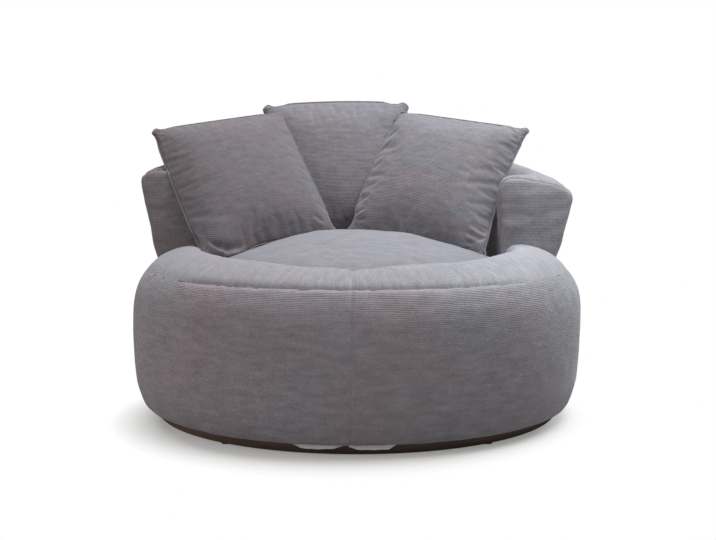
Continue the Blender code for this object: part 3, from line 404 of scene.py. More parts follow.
def swept_cloth(name, section_at, count, angles, rise, material):
    """A padded cloth panel: its section carried round the axis, raised by rise(angle, along, place)."""
    sections = []
    normals = []
    inner_rings = []
    lengths = []
    keep = np.linspace(0, count - 1, CLOTH_BACK_POINTS).round().astype(int)
    for angle in angles:
        section = section_at(angle, count)
        normal = outward(section)
        steps = np.linalg.norm(np.diff(section, axis=0), axis=1)
        along = np.concatenate([[0.0], np.cumsum(steps)])
        sections.append(section)
        normals.append(normal)
        lengths.append(along)
        inner_rings.append((section - normal * CLOTH_DEPTH)[keep][::-1])
    angle_grid = np.repeat(np.array(angles)[:, None], count, axis=1)
    section_grid = np.array(sections)
    along_grid = np.array(lengths)
    place = round_points(section_grid[..., 0], section_grid[..., 1], angle_grid)
    height = rise(angle_grid, along_grid, place)
    section_grid = section_grid + np.array(normals) * height[..., None]
    outer = round_points(section_grid[..., 0], section_grid[..., 1], angle_grid)
    inner_grid = np.array(inner_rings)
    inner_angle = np.repeat(np.array(angles)[:, None], CLOTH_BACK_POINTS, axis=1)
    inner = round_points(inner_grid[..., 0], inner_grid[..., 1], inner_angle)
    points = np.concatenate([outer, inner], axis=1)
    uv = np.zeros(points.shape[:2] + (2,))
    uv[:, :count, 0] = np.radians(angle_grid) * SHOULDER_RADIUS
    uv[:, :count, 1] = along_grid
    uv[:, count:, 0] = np.radians(inner_angle) * SHOULDER_RADIUS
    total = count + CLOTH_BACK_POINTS
    faces = loop_faces(len(angles), total)
    piece = cloth_object(name, points.reshape(-1, 3), faces, uv.reshape(-1, 2), material)
    PANEL_RINGS[piece.name] = (count, total)
    return piece


def recalc_outward(piece):
    """Turns a closed piece's faces outwards."""
    edit = bmesh.new()
    edit.from_mesh(piece.data)
    bmesh.ops.recalc_face_normals(edit, faces=edit.faces)
    if edit.calc_volume(signed=True) < 0:
        bmesh.ops.reverse_faces(edit, faces=edit.faces)
    edit.to_mesh(piece.data)
    edit.free()


# Materials


def new_group(name, inputs, outputs):
    """An empty node group with named inputs (with their usual values) and outputs."""
    group = bpy.data.node_groups.new(name, "ShaderNodeTree")
    for label, kind, value in inputs:
        socket = group.interface.new_socket(label, in_out="INPUT", socket_type=kind)
        if value is not None:
            socket.default_value = value
    for label, kind in outputs:
        group.interface.new_socket(label, in_out="OUTPUT", socket_type=kind)
    return group, group.nodes.new("NodeGroupInput"), group.nodes.new("NodeGroupOutput")


class NodeBench:
    """Short ways to add and join nodes in one tree."""

    def __init__(self, tree):
        self.nodes = tree.nodes
        self.links = tree.links

    def put(self, value, socket):
        if isinstance(value, bpy.types.NodeSocket):
            self.links.new(value, socket)
        elif value is not None:
            socket.default_value = value

    def math(self, kind, a, b=None, clamp=False):
        node = self.nodes.new("ShaderNodeMath")
        node.operation = kind
        node.use_clamp = clamp
        self.put(a, node.inputs[0])
        self.put(b, node.inputs[1])
        return node.outputs[0]

    def scaled(self, vector, scale):
        """The vector, times another vector or one number."""
        node = self.nodes.new("ShaderNodeVectorMath")
        node.operation = "MULTIPLY"
        self.put(vector, node.inputs[0])
        self.put(scale, node.inputs[1])
        return node.outputs[0]

    def noise(self, vector, scale, detail=2.0, roughness=0.5, warp=0.0):
        node = self.nodes.new("ShaderNodeTexNoise")
        self.put(vector, node.inputs["Vector"])
        self.put(scale, node.inputs["Scale"])
        self.put(detail, node.inputs["Detail"])
        self.put(roughness, node.inputs["Roughness"])
        self.put(warp, node.inputs["Distortion"])
        return node.outputs["Fac"]

    def spread(self, value, low, high, to_low=0.0, to_high=1.0):
        """The value's range from low to high, moved to another range."""
        node = self.nodes.new("ShaderNodeMapRange")
        self.put(value, node.inputs["Value"])
        self.put(low, node.inputs["From Min"])
        self.put(high, node.inputs["From Max"])
        self.put(to_low, node.inputs["To Min"])
        self.put(to_high, node.inputs["To Max"])
        return node.outputs["Result"]

    def mix(self, share, a, b, kind="MIX"):
        node = self.nodes.new("ShaderNodeMix")
        node.data_type = "RGBA"
        node.blend_type = kind
        self.put(share, node.inputs[0])
        self.put(a, node.inputs[6])
        self.put(b, node.inputs[7])
        return node.outputs[2]

    def parts(self, vector):
        node = self.nodes.new("ShaderNodeSeparateXYZ")
        self.put(vector, node.inputs[0])
        return node.outputs

    def vector(self, x, y, z=0.0):
        node = self.nodes.new("ShaderNodeCombineXYZ")
        for value, socket in zip((x, y, z), node.inputs):
            self.put(value, socket)
        return node.outputs[0]

    def bump(self, height, distance, strength=1.0):
        node = self.nodes.new("ShaderNodeBump")
        self.put(height, node.inputs["Height"])
        self.put(distance, node.inputs["Distance"])
        self.put(strength, node.inputs["Strength"])
        return node.outputs["Normal"]

    def grey(self, value):
        node = self.nodes.new("ShaderNodeCombineColor")
        for socket in node.inputs:
            self.put(value, socket)
        return node.outputs[0]


def build_cord_pile():
    """Fine cord with a soft pile: ribs along the cloth's V, brushed patches and streaks, with a painted cool
    tint and painted shade towards the chair's right.
    """
    group, given, result = new_group(
        "cord_pile",
        [
            ("Cloth", "NodeSocketVector", None),
            ("Place", "NodeSocketVector", None),
            ("Cool", "NodeSocketColor", (0.25, 0.25, 0.27, 1.0)),
            ("Warm", "NodeSocketColor", (0.24, 0.22, 0.23, 1.0)),
            ("Rib pitch", "NodeSocketFloat", 0.0045),
            ("Rib show", "NodeSocketFloat", 0.6),
            ("Patch size", "NodeSocketFloat", 0.09),
            # Painted shade towards the chair's right; below zero it is painted light.
            ("Drift", "NodeSocketFloat", 0.0),
            ("Tone", "NodeSocketFloat", 1.0),
        ],
        [("Colour", "NodeSocketColor"), ("Roughness", "NodeSocketFloat"), ("Height", "NodeSocketFloat")],
    )
    s = NodeBench(group)
    cloth, place = given.outputs["Cloth"], given.outputs["Place"]
    u, v, _ = s.parts(cloth)
    wander = s.noise(place, 30.0, 2.0)
    across = s.math("ADD", s.math("DIVIDE", u, given.outputs["Rib pitch"]), s.math("MULTIPLY", wander, 0.9))
    rib = s.math("SINE", s.math("MULTIPLY", across, math.tau))
    rib = s.math("ADD", s.math("MULTIPLY", rib, 0.5), 0.5)
    streak = s.noise(s.vector(s.math("MULTIPLY", across, 0.31), s.math("MULTIPLY", v, 16.0)), 1.0, 3.0)
    fibre = s.noise(s.scaled(cloth, (900.0, 260.0, 1.0)), 1.0, 2.0, 0.6)
    speck = s.noise(place, 190.0, 3.0, 0.7)
    patch = s.noise(place, s.math("DIVIDE", 1.0, given.outputs["Patch size"]), 3.0, 0.55, 0.4)
    blotch = s.noise(place, 46.0, 3.0, 0.6, 0.5)
    right, _, _ = s.parts(place)
    hue = s.math("ADD", s.math("MULTIPLY", patch, 0.85), s.math("MULTIPLY", blotch, 0.15))
    # Cooler towards the chair's right: a painted tint of the cool light from that side.
    hue = s.math("SUBTRACT", s.spread(hue, 0.34, 0.66), s.math("MULTIPLY", right, 0.7), True)
    colour = s.mix(hue, given.outputs["Cool"], given.outputs["Warm"])
    tone = s.math("MULTIPLY", s.spread(patch, 0.30, 0.70, 0.94, 1.06), given.outputs["Tone"])
    # Painted shade: darker towards the chair's right, as far as the given shading.
    shaded_right = s.math("MULTIPLY", right, given.outputs["Drift"])
    tone = s.math("MULTIPLY", tone, s.math("SUBTRACT", 1.0, shaded_right))
    for part, depth in ((blotch, 0.08), (streak, 0.14), (fibre, 0.08), (speck, 0.17)):
        tone = s.math("MULTIPLY", tone, s.spread(part, 0.3, 0.7, 1.0 - depth, 1.0 + depth))
    show = given.outputs["Rib show"]
    stripe = s.math("MULTIPLY", s.math("SUBTRACT", rib, 0.5), s.math("MULTIPLY", show, 0.09))
    tone = s.math("MULTIPLY", tone, s.math("ADD", stripe, 1.0))
    s.links.new(s.mix(1.0, colour, s.grey(tone), "MULTIPLY"), result.inputs["Colour"])
    s.links.new(s.spread(streak, 0.3, 0.7, 0.80, 0.95), result.inputs["Roughness"])
    fuzz = s.math("MULTIPLY", s.math("ADD", fibre, speck), 0.5)
    height = s.math("ADD", s.math("MULTIPLY", rib, show), fuzz)
    s.links.new(height, result.inputs["Height"])
    return group


def build_wood_grain():
    """Long grain with fine pores, drawn out along the axes whose stretch is least."""
    group, given, result = new_group(
        "wood_grain",
        [
            ("Place", "NodeSocketVector", None),
            ("Light", "NodeSocketColor", (0.6, 0.45, 0.28, 1.0)),
            ("Dark", "NodeSocketColor", (0.4, 0.28, 0.16, 1.0)),
            ("Stretch", "NodeSocketVector", (2.0, 30.0, 30.0)),
        ],
        [("Colour", "NodeSocketColor"), ("Roughness", "NodeSocketFloat"), ("Height", "NodeSocketFloat")],
    )
    s = NodeBench(group)
    stretched = s.scaled(given.outputs["Place"], given.outputs["Stretch"])
    bands = s.noise(stretched, 1.0, 4.0, 0.6, 1.2)
    pores = s.noise(s.scaled(stretched, (4.0, 12.0, 12.0)), 1.0, 2.0, 0.7)
    mixed = s.math("ADD", s.math("MULTIPLY", bands, 0.7), s.math("MULTIPLY", pores, 0.3))
    s.links.new(
        s.mix(s.spread(mixed, 0.35, 0.65), given.outputs["Dark"], given.outputs["Light"]),
        result.inputs["Colour"],
    )
    s.links.new(s.spread(pores, 0.3, 0.7, 0.42, 0.62), result.inputs["Roughness"])
    s.links.new(mixed, result.inputs["Height"])
    return group


def build_fine_grain():
    """A plain finish broken by fine grain and slow clouding, for felt, lining, webbing, steel and nylon."""
    group, given, result = new_group(
        "fine_grain",
        [
            ("Place", "NodeSocketVector", None),
            ("Colour", "NodeSocketColor", (0.5, 0.5, 0.5, 1.0)),
            ("Grain scale", "NodeSocketFloat", 400.0),
            ("Depth", "NodeSocketFloat", 0.15),
            ("Rough low", "NodeSocketFloat", 0.4),
            ("Rough high", "NodeSocketFloat", 0.6),
        ],
        [("Colour", "NodeSocketColor"), ("Roughness", "NodeSocketFloat"), ("Height", "NodeSocketFloat")],
    )
    s = NodeBench(group)
    place = given.outputs["Place"]
    grain = s.noise(place, given.outputs["Grain scale"], 3.0, 0.6)
    cloud = s.noise(place, 14.0, 3.0, 0.5)
    both = s.math("ADD", s.math("MULTIPLY", grain, 0.6), s.math("MULTIPLY", cloud, 0.4))
    depth = given.outputs["Depth"]
    tone = s.spread(both, 0.3, 0.7, s.math("SUBTRACT", 1.0, depth), s.math("ADD", 1.0, depth))
    s.links.new(s.mix(1.0, given.outputs["Colour"], s.grey(tone), "MULTIPLY"), result.inputs["Colour"])
    rough = s.spread(cloud, 0.3, 0.7, given.outputs["Rough low"], given.outputs["Rough high"])
    s.links.new(rough, result.inputs["Roughness"])
    s.links.new(grain, result.inputs["Height"])
    return group


def new_material(name):
    material = bpy.data.materials.new(name)
    material.use_nodes = True
    return material, material.node_tree.nodes["Principled BSDF"], NodeBench(material.node_tree)


def put_group(bench, group, **values):
    node = bench.nodes.new("ShaderNodeGroup")
    node.node_tree = group
    for label, value in values.items():
        bench.put(value, node.inputs[label.replace("_", " ")])
    return node.outputs


def cloth_directions(bench, turned):
    """The cloth's UV in metres; turned lays the ribs the other way."""
    node = bench.nodes.new("ShaderNodeUVMap")
    node.uv_map = "cloth"
    if not turned:
        return node.outputs["UV"]
    u, v, _ = bench.parts(node.outputs["UV"])
    return bench.vector(v, u)


def object_place(bench):
    return bench.nodes.new("ShaderNodeTexCoord").outputs["Object"]


def cord_cloth(
    name, group, colours, turned=True, patch=0.10, rib=0.7, side_shading=0.0, upper=None, rim=None, painted_light_right=1.0
):
    """The chair's cloth, its pile brushed lighter or darker from place to place, with painted light and shade
    laid over it.

    The shading given is how far painted shade darkens it towards the chair's right; below zero it is painted
    light.
    Upper gives the top band's lighter cool and warm colours, painted light that it takes on beside the arms
    near its top; with upper the tone is also painted darker towards the bottom and lighter near the shoulder.
    Rim gives two distances from the axis and the tone at each, painted light and shade round the middle, and
    the right-hand tone is the painted lighter tone on the chair's right.
    """
    cool, warm = colours
    material, shader, s = new_material(name)
    place = object_place(s)
    cool, warm, show, tone = (*cool, 1.0), (*warm, 1.0), rib, 1.0
    if upper:
        _, behind, height = s.parts(place)
        # Beside the arms near the top the side takes the top band's lighter colours: painted light.
        aside = s.math("MULTIPLY", s.spread(height, 0.22, 0.41), s.spread(behind, -0.50, -0.38))
        cool = s.mix(aside, cool, (*upper[0], 1.0))
        warm = s.mix(aside, warm, (*upper[1], 1.0))
        show = s.spread(height, 0.12, 0.40, rib * 0.5, rib * 1.7)
        # Painted shade and light: darker towards the bottom of the side, lighter near the shoulder.
        painted_shade_low = s.spread(height, 0.03, 0.33, 0.85, 0.97)
        tone = s.math("ADD", painted_shade_low, s.spread(height, 0.33, 0.41, 0.0, 0.27))
        tone = s.math("ADD", s.math("MULTIPLY", tone, s.math("SUBTRACT", 1.0, aside)), aside)
        # The painted shade towards the right fades to little near the top.
        side_shading = s.spread(height, 0.10, 0.36, side_shading, 0.06)
    if rim:
        across, behind, _ = s.parts(place)
        squares = s.math("MULTIPLY", across, across), s.math("MULTIPLY", behind, behind)
        away = s.math("SQRT", s.math("ADD", *squares))
        # Painted light and shade by distance from the axis, and painted light on the chair's right.
        tone = s.math("MULTIPLY", s.spread(away, *rim), s.spread(across, 0.06, 0.42, 1.0, painted_light_right))
    outputs = put_group(
        s,
        group,
        Cloth=cloth_directions(s, turned),
        Place=place,
        Cool=cool,
        Warm=warm,
        Patch_size=patch,
        Rib_show=show,
        Drift=side_shading,
        Tone=tone,
    )
    s.links.new(outputs["Colour"], shader.inputs["Base Color"])
    s.links.new(outputs["Roughness"], shader.inputs["Roughness"])
    s.links.new(s.bump(outputs["Height"], 0.0008, 0.8), shader.inputs["Normal"])
    shader.inputs["Sheen Weight"].default_value = 0.35
    shader.inputs["Sheen Roughness"].default_value = 0.45
    shader.inputs["Sheen Tint"].default_value = (0.90, 0.92, 1.0, 1.0)
    shader.inputs["Specular IOR Level"].default_value = 0.2
    return material


def grained(name, group, colour, scale, depth, rough, metallic, bump):
    material, shader, s = new_material(name)
    outputs = put_group(
        s,
        group,
        Place=object_place(s),
        Colour=(*colour, 1.0),
        Grain_scale=scale,
        Depth=depth,
        Rough_low=rough[0],
        Rough_high=rough[1],
    )
    s.links.new(outputs["Colour"], shader.inputs["Base Color"])
    s.links.new(outputs["Roughness"], shader.inputs["Roughness"])
    s.links.new(s.bump(outputs["Height"], bump, 0.6), shader.inputs["Normal"])
    shader.inputs["Metallic"].default_value = metallic
    return material


def wooden(name, group, light, dark, stretch, painted_light_left=1.0):
    """Wood with long grain; the left-hand tone is how many times lighter it is painted on the chair's left,
    as painted light.
    """
    material, shader, s = new_material(name)
    place = object_place(s)
    outputs = put_group(s, group, Place=place, Light=(*light, 1.0), Dark=(*dark, 1.0), Stretch=stretch)
    # Painted light: lighter towards the chair's left.
    lit_on_left = s.spread(s.parts(place)[0], -0.50, -0.05, painted_light_left, 1.0)
    s.links.new(s.mix(1.0, outputs["Colour"], s.grey(lit_on_left), "MULTIPLY"), shader.inputs["Base Color"])
    s.links.new(outputs["Roughness"], shader.inputs["Roughness"])
    s.links.new(s.bump(outputs["Height"], 0.0002, 0.6), shader.inputs["Normal"])
    return material


def build_materials():
    pile = build_cord_pile()
    wood = build_wood_grain()
    grain = build_fine_grain()
    cord = CORD_COLOURS
    materials = {
        # Painted shade on the drum's side: darker towards the chair's right and the bottom, lighter near the
        # shoulder and beside the arms.
        "drum_side": cord_cloth(
            "cord_drum_side", pile, cord["drum_side"], patch=0.26, rib=0.75, side_shading=0.42,
            upper=cord["drum_top"],
        ),
        # Painted highlight along the roll's inner edge and painted light on the chair's right of the top
        # band.
        "drum_top": cord_cloth(
            "cord_drum_top", pile, cord["drum_top"], turned=False, patch=0.14, rib=1.5,
            rim=(0.47, 0.54, 1.08, 1.0), painted_light_right=1.27,
        ),
        # Painted light on the back, lighter towards the chair's right.
        "back": cord_cloth("cord_back", pile, cord["back"], patch=0.20, side_shading=-0.20),
        # Painted shade on the cushion, darker towards its rim beside the roll.
        "seat": cord_cloth("cord_seat_cushion", pile, cord["seat"], rib=0.5, rim=(0.30, 0.43, 1.02, 0.86)),
    }
    for side in PILLOWS:
        materials[side] = cord_cloth(f"cord_{side}_pillow", pile, cord[side])
    # The plinth's wood is painted over three times lighter on the chair's left: painted light.
    materials["dark_wood"] = wooden(
        "dark_wood", wood, light=(0.062, 0.036, 0.024), dark=(0.028, 0.017, 0.012), stretch=(3.0, 3.0, 60.0),
        painted_light_left=3.2,
    )
    materials["plywood"] = wooden(
        "birch_plywood", wood, light=(0.62, 0.47, 0.30), dark=(0.50, 0.35, 0.20), stretch=(2.0, 26.0, 40.0)
    )
    for slot, name, colour, scale, depth, rough, metallic, bump in GRAINED_FINISHES:
        materials[slot] = grained(name, grain, colour, scale, depth, rough, metallic, bump)
    return materials


# The drum's covering


def crest_rise(angle):
    """The rise of the drum's crest towards the arms."""
    table = smooth_line(list(zip(CREST_ANGLES, CREST_RISE_SHARES)), 60)
    from_front = abs((angle + 180.0) % 360.0 - 180.0)
    return CREST_RISE * float(np.interp(from_front, table[:, 0], table[:, 1]))


def drum_outline(angle):
    """Control points of the padded side and top, with the shoulder seam at point SHOULDER_POINT."""
    rise = SHOULDER_HEIGHT - LIP_HEIGHT
    points = [(LIP_INNER_RADIUS, LIP_HEIGHT), (LIP_RADIUS, LIP_HEIGHT)]
    for height, bulge in zip(LOWER_HEIGHT_SHARES, LOWER_BULGE_SHARES):
        points.append((LIP_RADIUS + bulge * (DRUM_RADIUS - LIP_RADIUS), LIP_HEIGHT + height * rise))
    for height, bulge in zip(UPPER_HEIGHT_SHARES, UPPER_BULGE_SHARES):
        reach = SHOULDER_RADIUS + bulge * (DRUM_RADIUS - SHOULDER_RADIUS)
        points.append((reach, LIP_HEIGHT + height * rise))
    points.append((SHOULDER_RADIUS, SHOULDER_HEIGHT))
    crest = CREST_HEIGHT + crest_rise(angle) - SHOULDER_HEIGHT
    for across, height in zip(TOP_ACROSS_SHARES, TOP_HEIGHT_SHARES):
        reach = SHOULDER_RADIUS + across * (WELL_RADIUS - SHOULDER_RADIUS)
        points.append((reach, SHOULDER_HEIGHT + height * crest))
    points.append((WELL_RADIUS, WELL_FLOOR))
    return points


def side_section(angle, count):
    return smooth_line(drum_outline(angle), count, 0, SHOULDER_POINT)


def top_section(angle, count):
    return smooth_line(drum_outline(angle), count, SHOULDER_POINT)


def seam_shows(angle):
    """How deep the shoulder seam is: full at the front, nearly gone round the sides."""
    from_front = np.abs((angle + 180.0) % 360.0 - 180.0)
    return 1.0 - SEAM_FADE_SHARE * eased(np.clip((from_front - SEAM_FADE_START) / SEAM_FADE_SPAN, 0.0, 1.0))


def shoulder_seam(distance, angle, pulls):
    """The seam's groove, the low welt beside it and the pulls that run into it."""
    groove = SEAM_WELT * near(distance - 0.020, 0.016) - SEAM_GROOVE * near(distance, 0.006)
    return groove * seam_shows(angle) + SEAM_PULL * pulls * np.exp(-distance / 0.030)


def side_rise(angle, along, place):
    """Seams, pulls and soft lumps of the drum's side."""
    to_top = along[:, -1:] - along
    to_front = np.radians(angle - FRONT_SEAM) * DRUM_RADIUS
    to_rear = np.radians(np.abs(angle - FRONT_SEAM) - 180.0) * DRUM_RADIUS
    pulls = swells(np.stack([np.radians(angle) * 60.0, to_top * 6.0], axis=-1), 2.2, 11)
    height = shoulder_seam(to_top, angle, pulls)
    height += -PANEL_SEAM_DEPTH * near(to_front, 0.005) - PANEL_SEAM_DEPTH * near(to_rear, 0.005)
    height += 0.0022 * swells(place, 0.30, 12) * np.clip(to_top / 0.06, 0, 1) * np.clip(along / 0.05, 0, 1)
    height += 0.0006 * swells(place, 0.07, 13)
    return height


def top_rise(angle, along, place):
    """Seams, the notch over the front seam and soft lumps of the top band."""
    to_front = np.radians(angle - FRONT_SEAM) * SHOULDER_RADIUS
    inner_edge = along[:, -1:] * 0.52
    pulls = swells(np.stack([np.radians(angle) * 60.0, along * 6.0], axis=-1), 2.0, 21)
    ribs = swells(np.stack([np.radians(angle) * 40.0, along * 2.0], axis=-1), 1.2, 22)
    height = shoulder_seam(along, angle, pulls)
    notch = 0.0055 + 0.009 * near(along - inner_edge, 0.035)
    height += -notch * near(to_front, 0.006) - 0.003 * near(to_front, 0.022) * near(along - inner_edge, 0.05)
    height += 0.0025 * swells(place, 0.22, 23) * np.clip(along / 0.05, 0, 1)
    height += 0.0006 * ribs * np.clip(along / 0.03, 0, 1)
    return height


def build_drum_covering(materials):
    side_right = turn_angles(FRONT_SEAM, 180.0 + FRONT_SEAM)
    side_left = turn_angles(-180.0 + FRONT_SEAM, FRONT_SEAM)
    top_right = turn_angles(FRONT_SEAM, TOP_BAND_END)
    top_left = turn_angles(-TOP_BAND_END, FRONT_SEAM)
    made = {}
    for side, angles in (("right", side_right), ("left", side_left)):
        made[f"drum_side_{side}"] = swept_cloth(
            f"drum_side_{side}", side_section, SIDE_POINTS, angles, side_rise, materials["drum_side"]
        )
    for side, angles in (("right", top_right), ("left", top_left)):
        made[f"drum_top_{side}"] = swept_cloth(
            f"drum_top_{side}", top_section, TOP_POINTS, angles, top_rise, materials["drum_top"]
        )
    for side in ("left", "right"):
        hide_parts(f"drum_cover_side_{side}")
        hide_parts(f"drum_cover_top_{side}")
    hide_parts("drum_foam_side")
    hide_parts("drum_foam_top")
    for piece in made.values():
        finish_soft(piece, "drum")
    return made


def finish_soft(piece, body):
    recalc_outward(piece)
    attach(piece, body)


# The back's covering


def back_height(angle):
    """Height of the back's top: low at both ends, highest behind, a little slumped on the right."""
    share = (angle - BACK_START) / (180.0 - BACK_START)
    climb = math.sin(math.pi / 2 * min(share, 2.0 - share))
    height = BACK_END_HEIGHT + (BACK_REAR_HEIGHT - BACK_END_HEIGHT) * climb
    return height - BACK_RIGHT_SLUMP * max(0.0, 1.0 - share) ** 2


def end_share(angle, span):
    """1 at the end of the back that this angle lies towards, down to 0 this many degrees behind it."""
    return eased(min(max(1.0 - angle / span, 0.0), 1.0))


def back_outline(angle):
    """Control points of the back's section, from its foot outside over the crown to the well floor."""
    top = back_height(angle)
    foot = SHOULDER_HEIGHT - 0.004
    crown_low = top - BACK_CROWN_DROP
    points = []
    for lean, height in zip(BACK_OUTER_LEAN_SHARES, BACK_OUTER_HEIGHT_SHARES):
        reach = BACK_FOOT_RADIUS + lean * (BACK_TOP_RADIUS - BACK_FOOT_RADIUS)
        points.append((reach, foot + height * (crown_low - foot)))
    slumped = end_share(angle - BACK_START, RIGHT_END_SPAN)
    upright = end_share(360.0 - BACK_START - angle, RIGHT_END_SPAN)
    full = slumped * RIGHT_END_FULLNESS + upright * LEFT_END_FULLNESS
    inner_top = BACK_INNER_TOP_RADIUS - full
    thick = BACK_TOP_RADIUS - inner_top
    shares = zip(CROWN_ACROSS_SHARES, CROWN_DROP_SHARES, RIGHT_END_DROP_SHARES, LEFT_END_DROP_SHARES)
    for across, drop, right_drop, left_drop in shares:
        drop += slumped * (right_drop - drop) + upright * (left_drop - drop)
        points.append((BACK_TOP_RADIUS - across * thick, top - drop * BACK_CROWN_DROP))
    inner_low = BACK_INNER_TOP_RADIUS - RIGHT_END_LOW_SHARE * full
    for lean, height in zip(BACK_INNER_LEAN_SHARES, BACK_INNER_HEIGHT_SHARES):
        reach = WELL_RADIUS + lean * (inner_low - WELL_RADIUS)
        points.append((reach, WELL_FLOOR + height * (crown_low - WELL_FLOOR)))
    points.append((WELL_RADIUS, WELL_FLOOR))
    return points


def end_rounded(section, angle):
    """The back's section, drawn in towards its middle beside either end, as padding is at a sewn corner."""
    to_end = math.radians(min(angle - BACK_START, 360.0 - BACK_START - angle)) * SHOULDER_RADIUS
    share = min(max(1.0 - to_end / END_ROUNDING, 0.0), 1.0)
    draw = END_DRAWN_IN * (1.0 - math.sqrt(1.0 - share * share))
    above = np.clip((section[:, 1] - CREST_HEIGHT - CREST_RISE) / 0.05, 0.0, 1.0)
    return section - outward(section) * (draw * above)[:, None]


def back_rise(angle, place):
    """Soft lumps of the back, its crown seam and the rounding at its two ends."""
    to_end = np.minimum(angle - BACK_START, 360.0 - BACK_START - angle)
    to_end = np.radians(to_end) * DRUM_RADIUS
    height = 0.0030 * swells(place, 0.26, 31) + 0.0008 * swells(place, 0.06, 32)
    height *= np.clip(to_end / 0.03, 0, 1)
    return height - 0.0012 * near(to_end, 0.004)


def back_outside_rise(angle, along, place):
    to_seam = along[:, -1:] - along
    return back_rise(angle, place) - BACK_SEAM_DEPTH * near(to_seam, 0.005) - 0.004 * near(along, 0.010)


def back_inside_rise(angle, along, place):
    return back_rise(angle, place) - BACK_SEAM_DEPTH * near(along, 0.005)


def build_facing(name, angle, way, edge, material):
    """The padded end of the back, domed forwards; a small edge value gives it a tight corner."""
    section = end_rounded(smooth_line(back_outline(angle), FACING_POINTS), angle)
    section = section[section[:, 1] > SHOULDER_HEIGHT - 0.02]
    shown = section[section[:, 1] > SHOULDER_HEIGHT + 0.03]
    centre = np.array([shown[:, 0].mean(), (shown[:, 1].min() + shown[:, 1].max()) / 2])
    turn = math.radians(angle)
    forward = way * np.array([math.cos(turn), math.sin(turn), 0.0])
    rings = []
    uv = []
    for k in range(FACING_LAYERS + 1):
        lift = math.pi / 2 * k / FACING_LAYERS
        size = 1.0 - 0.94 * (1.0 - math.cos(lift)) ** 1.25
        reach = -FACING_SUNK + (FACING_BULGE + FACING_SUNK) * math.sin(lift) ** edge
        ring = centre + (section - centre) * size
        points = round_points(ring[:, 0], ring[:, 1], np.full(len(ring), angle)) + forward * reach
        rings.append(points)
        uv.append(np.stack([ring[:, 0], ring[:, 1]], axis=1))
    points = np.array(rings)
    inside = np.linspace(0.0, 1.0, len(rings))[:, None]
    folds = swells(points * (4.0, 4.0, 24.0), 0.9, 43) * np.clip((0.66 - points[..., 2]) / 0.05, 0.0, 1.0)
    lumps = 0.0025 * swells(points, 0.11, 41) + 0.0028 * folds
    points += forward * (lumps * np.clip(inside * 4.0, 0.0, 1.0))[..., None]
    faces = loop_faces(len(rings), len(section))
    return cloth_object(name, points.reshape(-1, 3), faces, np.array(uv).reshape(-1, 2), material)


def build_back_covering(materials):
    left_end = 360.0 - BACK_START
    angles = turn_angles(BACK_START, left_end)

    def outside(angle, count):
        return end_rounded(smooth_line(back_outline(angle), count, 0, BACK_SEAM_POINT), angle)

    def inside(angle, count):
        return end_rounded(smooth_line(back_outline(angle), count, BACK_SEAM_POINT), angle)

    cloth = materials["back"]
    made = {
        "outside": swept_cloth("back_outside", outside, OUTSIDE_POINTS, angles, back_outside_rise, cloth),
        "inside": swept_cloth("back_inside", inside, INSIDE_POINTS, angles, back_inside_rise, cloth),
        "facing_right": build_facing("back_end_right", BACK_START, -1.0, RIGHT_FACING_EDGE, cloth),
        "facing_left": build_facing("back_end_left", left_end, 1.0, LEFT_FACING_EDGE, cloth),
    }
    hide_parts("back_cover_outside", "back_foam")
    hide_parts("back_cover_inside")
    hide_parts("back_facing_right")
    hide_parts("back_facing_left")
    for piece in made.values():
        finish_soft(piece, "drum")
    return made


# Seat cushion


def build_seat_cushion(material):
    """The domed loose cushion, all one closed form with its seam below the rim of the well."""
    crown = CUSHION_CROWN - CUSHION_SEAM_HEIGHT
    under = [
        (0.0, WELL_FLOOR + CUSHION_LIFT),
        (CUSHION_RADIUS * 0.5, WELL_FLOOR + CUSHION_LIFT),
        (CUSHION_RADIUS - CUSHION_CORNER, WELL_FLOOR + CUSHION_LIFT),
        (CUSHION_RADIUS - CUSHION_CORNER * 0.3, WELL_FLOOR + CUSHION_CORNER * 0.3),
        (CUSHION_RADIUS, WELL_FLOOR + CUSHION_CORNER),
        (CUSHION_RADIUS, CUSHION_SEAM_HEIGHT),
    ]
    over = [
        (share * CUSHION_RADIUS, CUSHION_SEAM_HEIGHT + height * crown)
        for share, height in zip(DOME_RADIUS_SHARES, DOME_HEIGHT_SHARES)
    ]
    line = smooth_line([*under, *over], CUSHION_POINTS)
    seam = np.argmin(np.linalg.norm(line - np.array(under[-1]), axis=1))
    count = len(line) - 2
    angle = turn_grid(CUSHION_TURNS, count)
    body = np.repeat(line[None, 1:-1], CUSHION_TURNS, axis=0)
    place = round_points(body[..., 0], body[..., 1], angle)
    steps = np.linalg.norm(np.diff(line, axis=0), axis=1)
    along = np.concatenate([[0.0], np.cumsum(steps)])
    to_seam = np.abs(along[1:-1] - along[seam])[None]
    on_top = np.clip((place[..., 2] - CUSHION_SEAM_HEIGHT) / 0.03, 0.0, 1.0)
    height = 0.0035 * swells(place, 0.30, 51) * on_top + 0.0010 * swells(place, 0.08, 52) * on_top
    normal = outward(line)[1:-1][None]
    body = body + normal * (height - CUSHION_SEAM_DEPTH * near(to_seam, 0.005))[..., None]
    place = round_points(body[..., 0], body[..., 1], angle)
    points = np.vstack([place.reshape(-1, 3), [[0, 0, line[0, 1]], [0, 0, line[-1, 1]]]])
    faces = capped_faces(CUSHION_TURNS, count)
    piece = cloth_object("seat_cushion_pad", points, faces, points[:, :2], material)
    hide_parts("seat_cushion_core", "seat_cushion_top_panel", "seat_cushion_bottom_panel")
    finish_soft(piece, "seat_cushion")
    return piece


# Scatter pillows


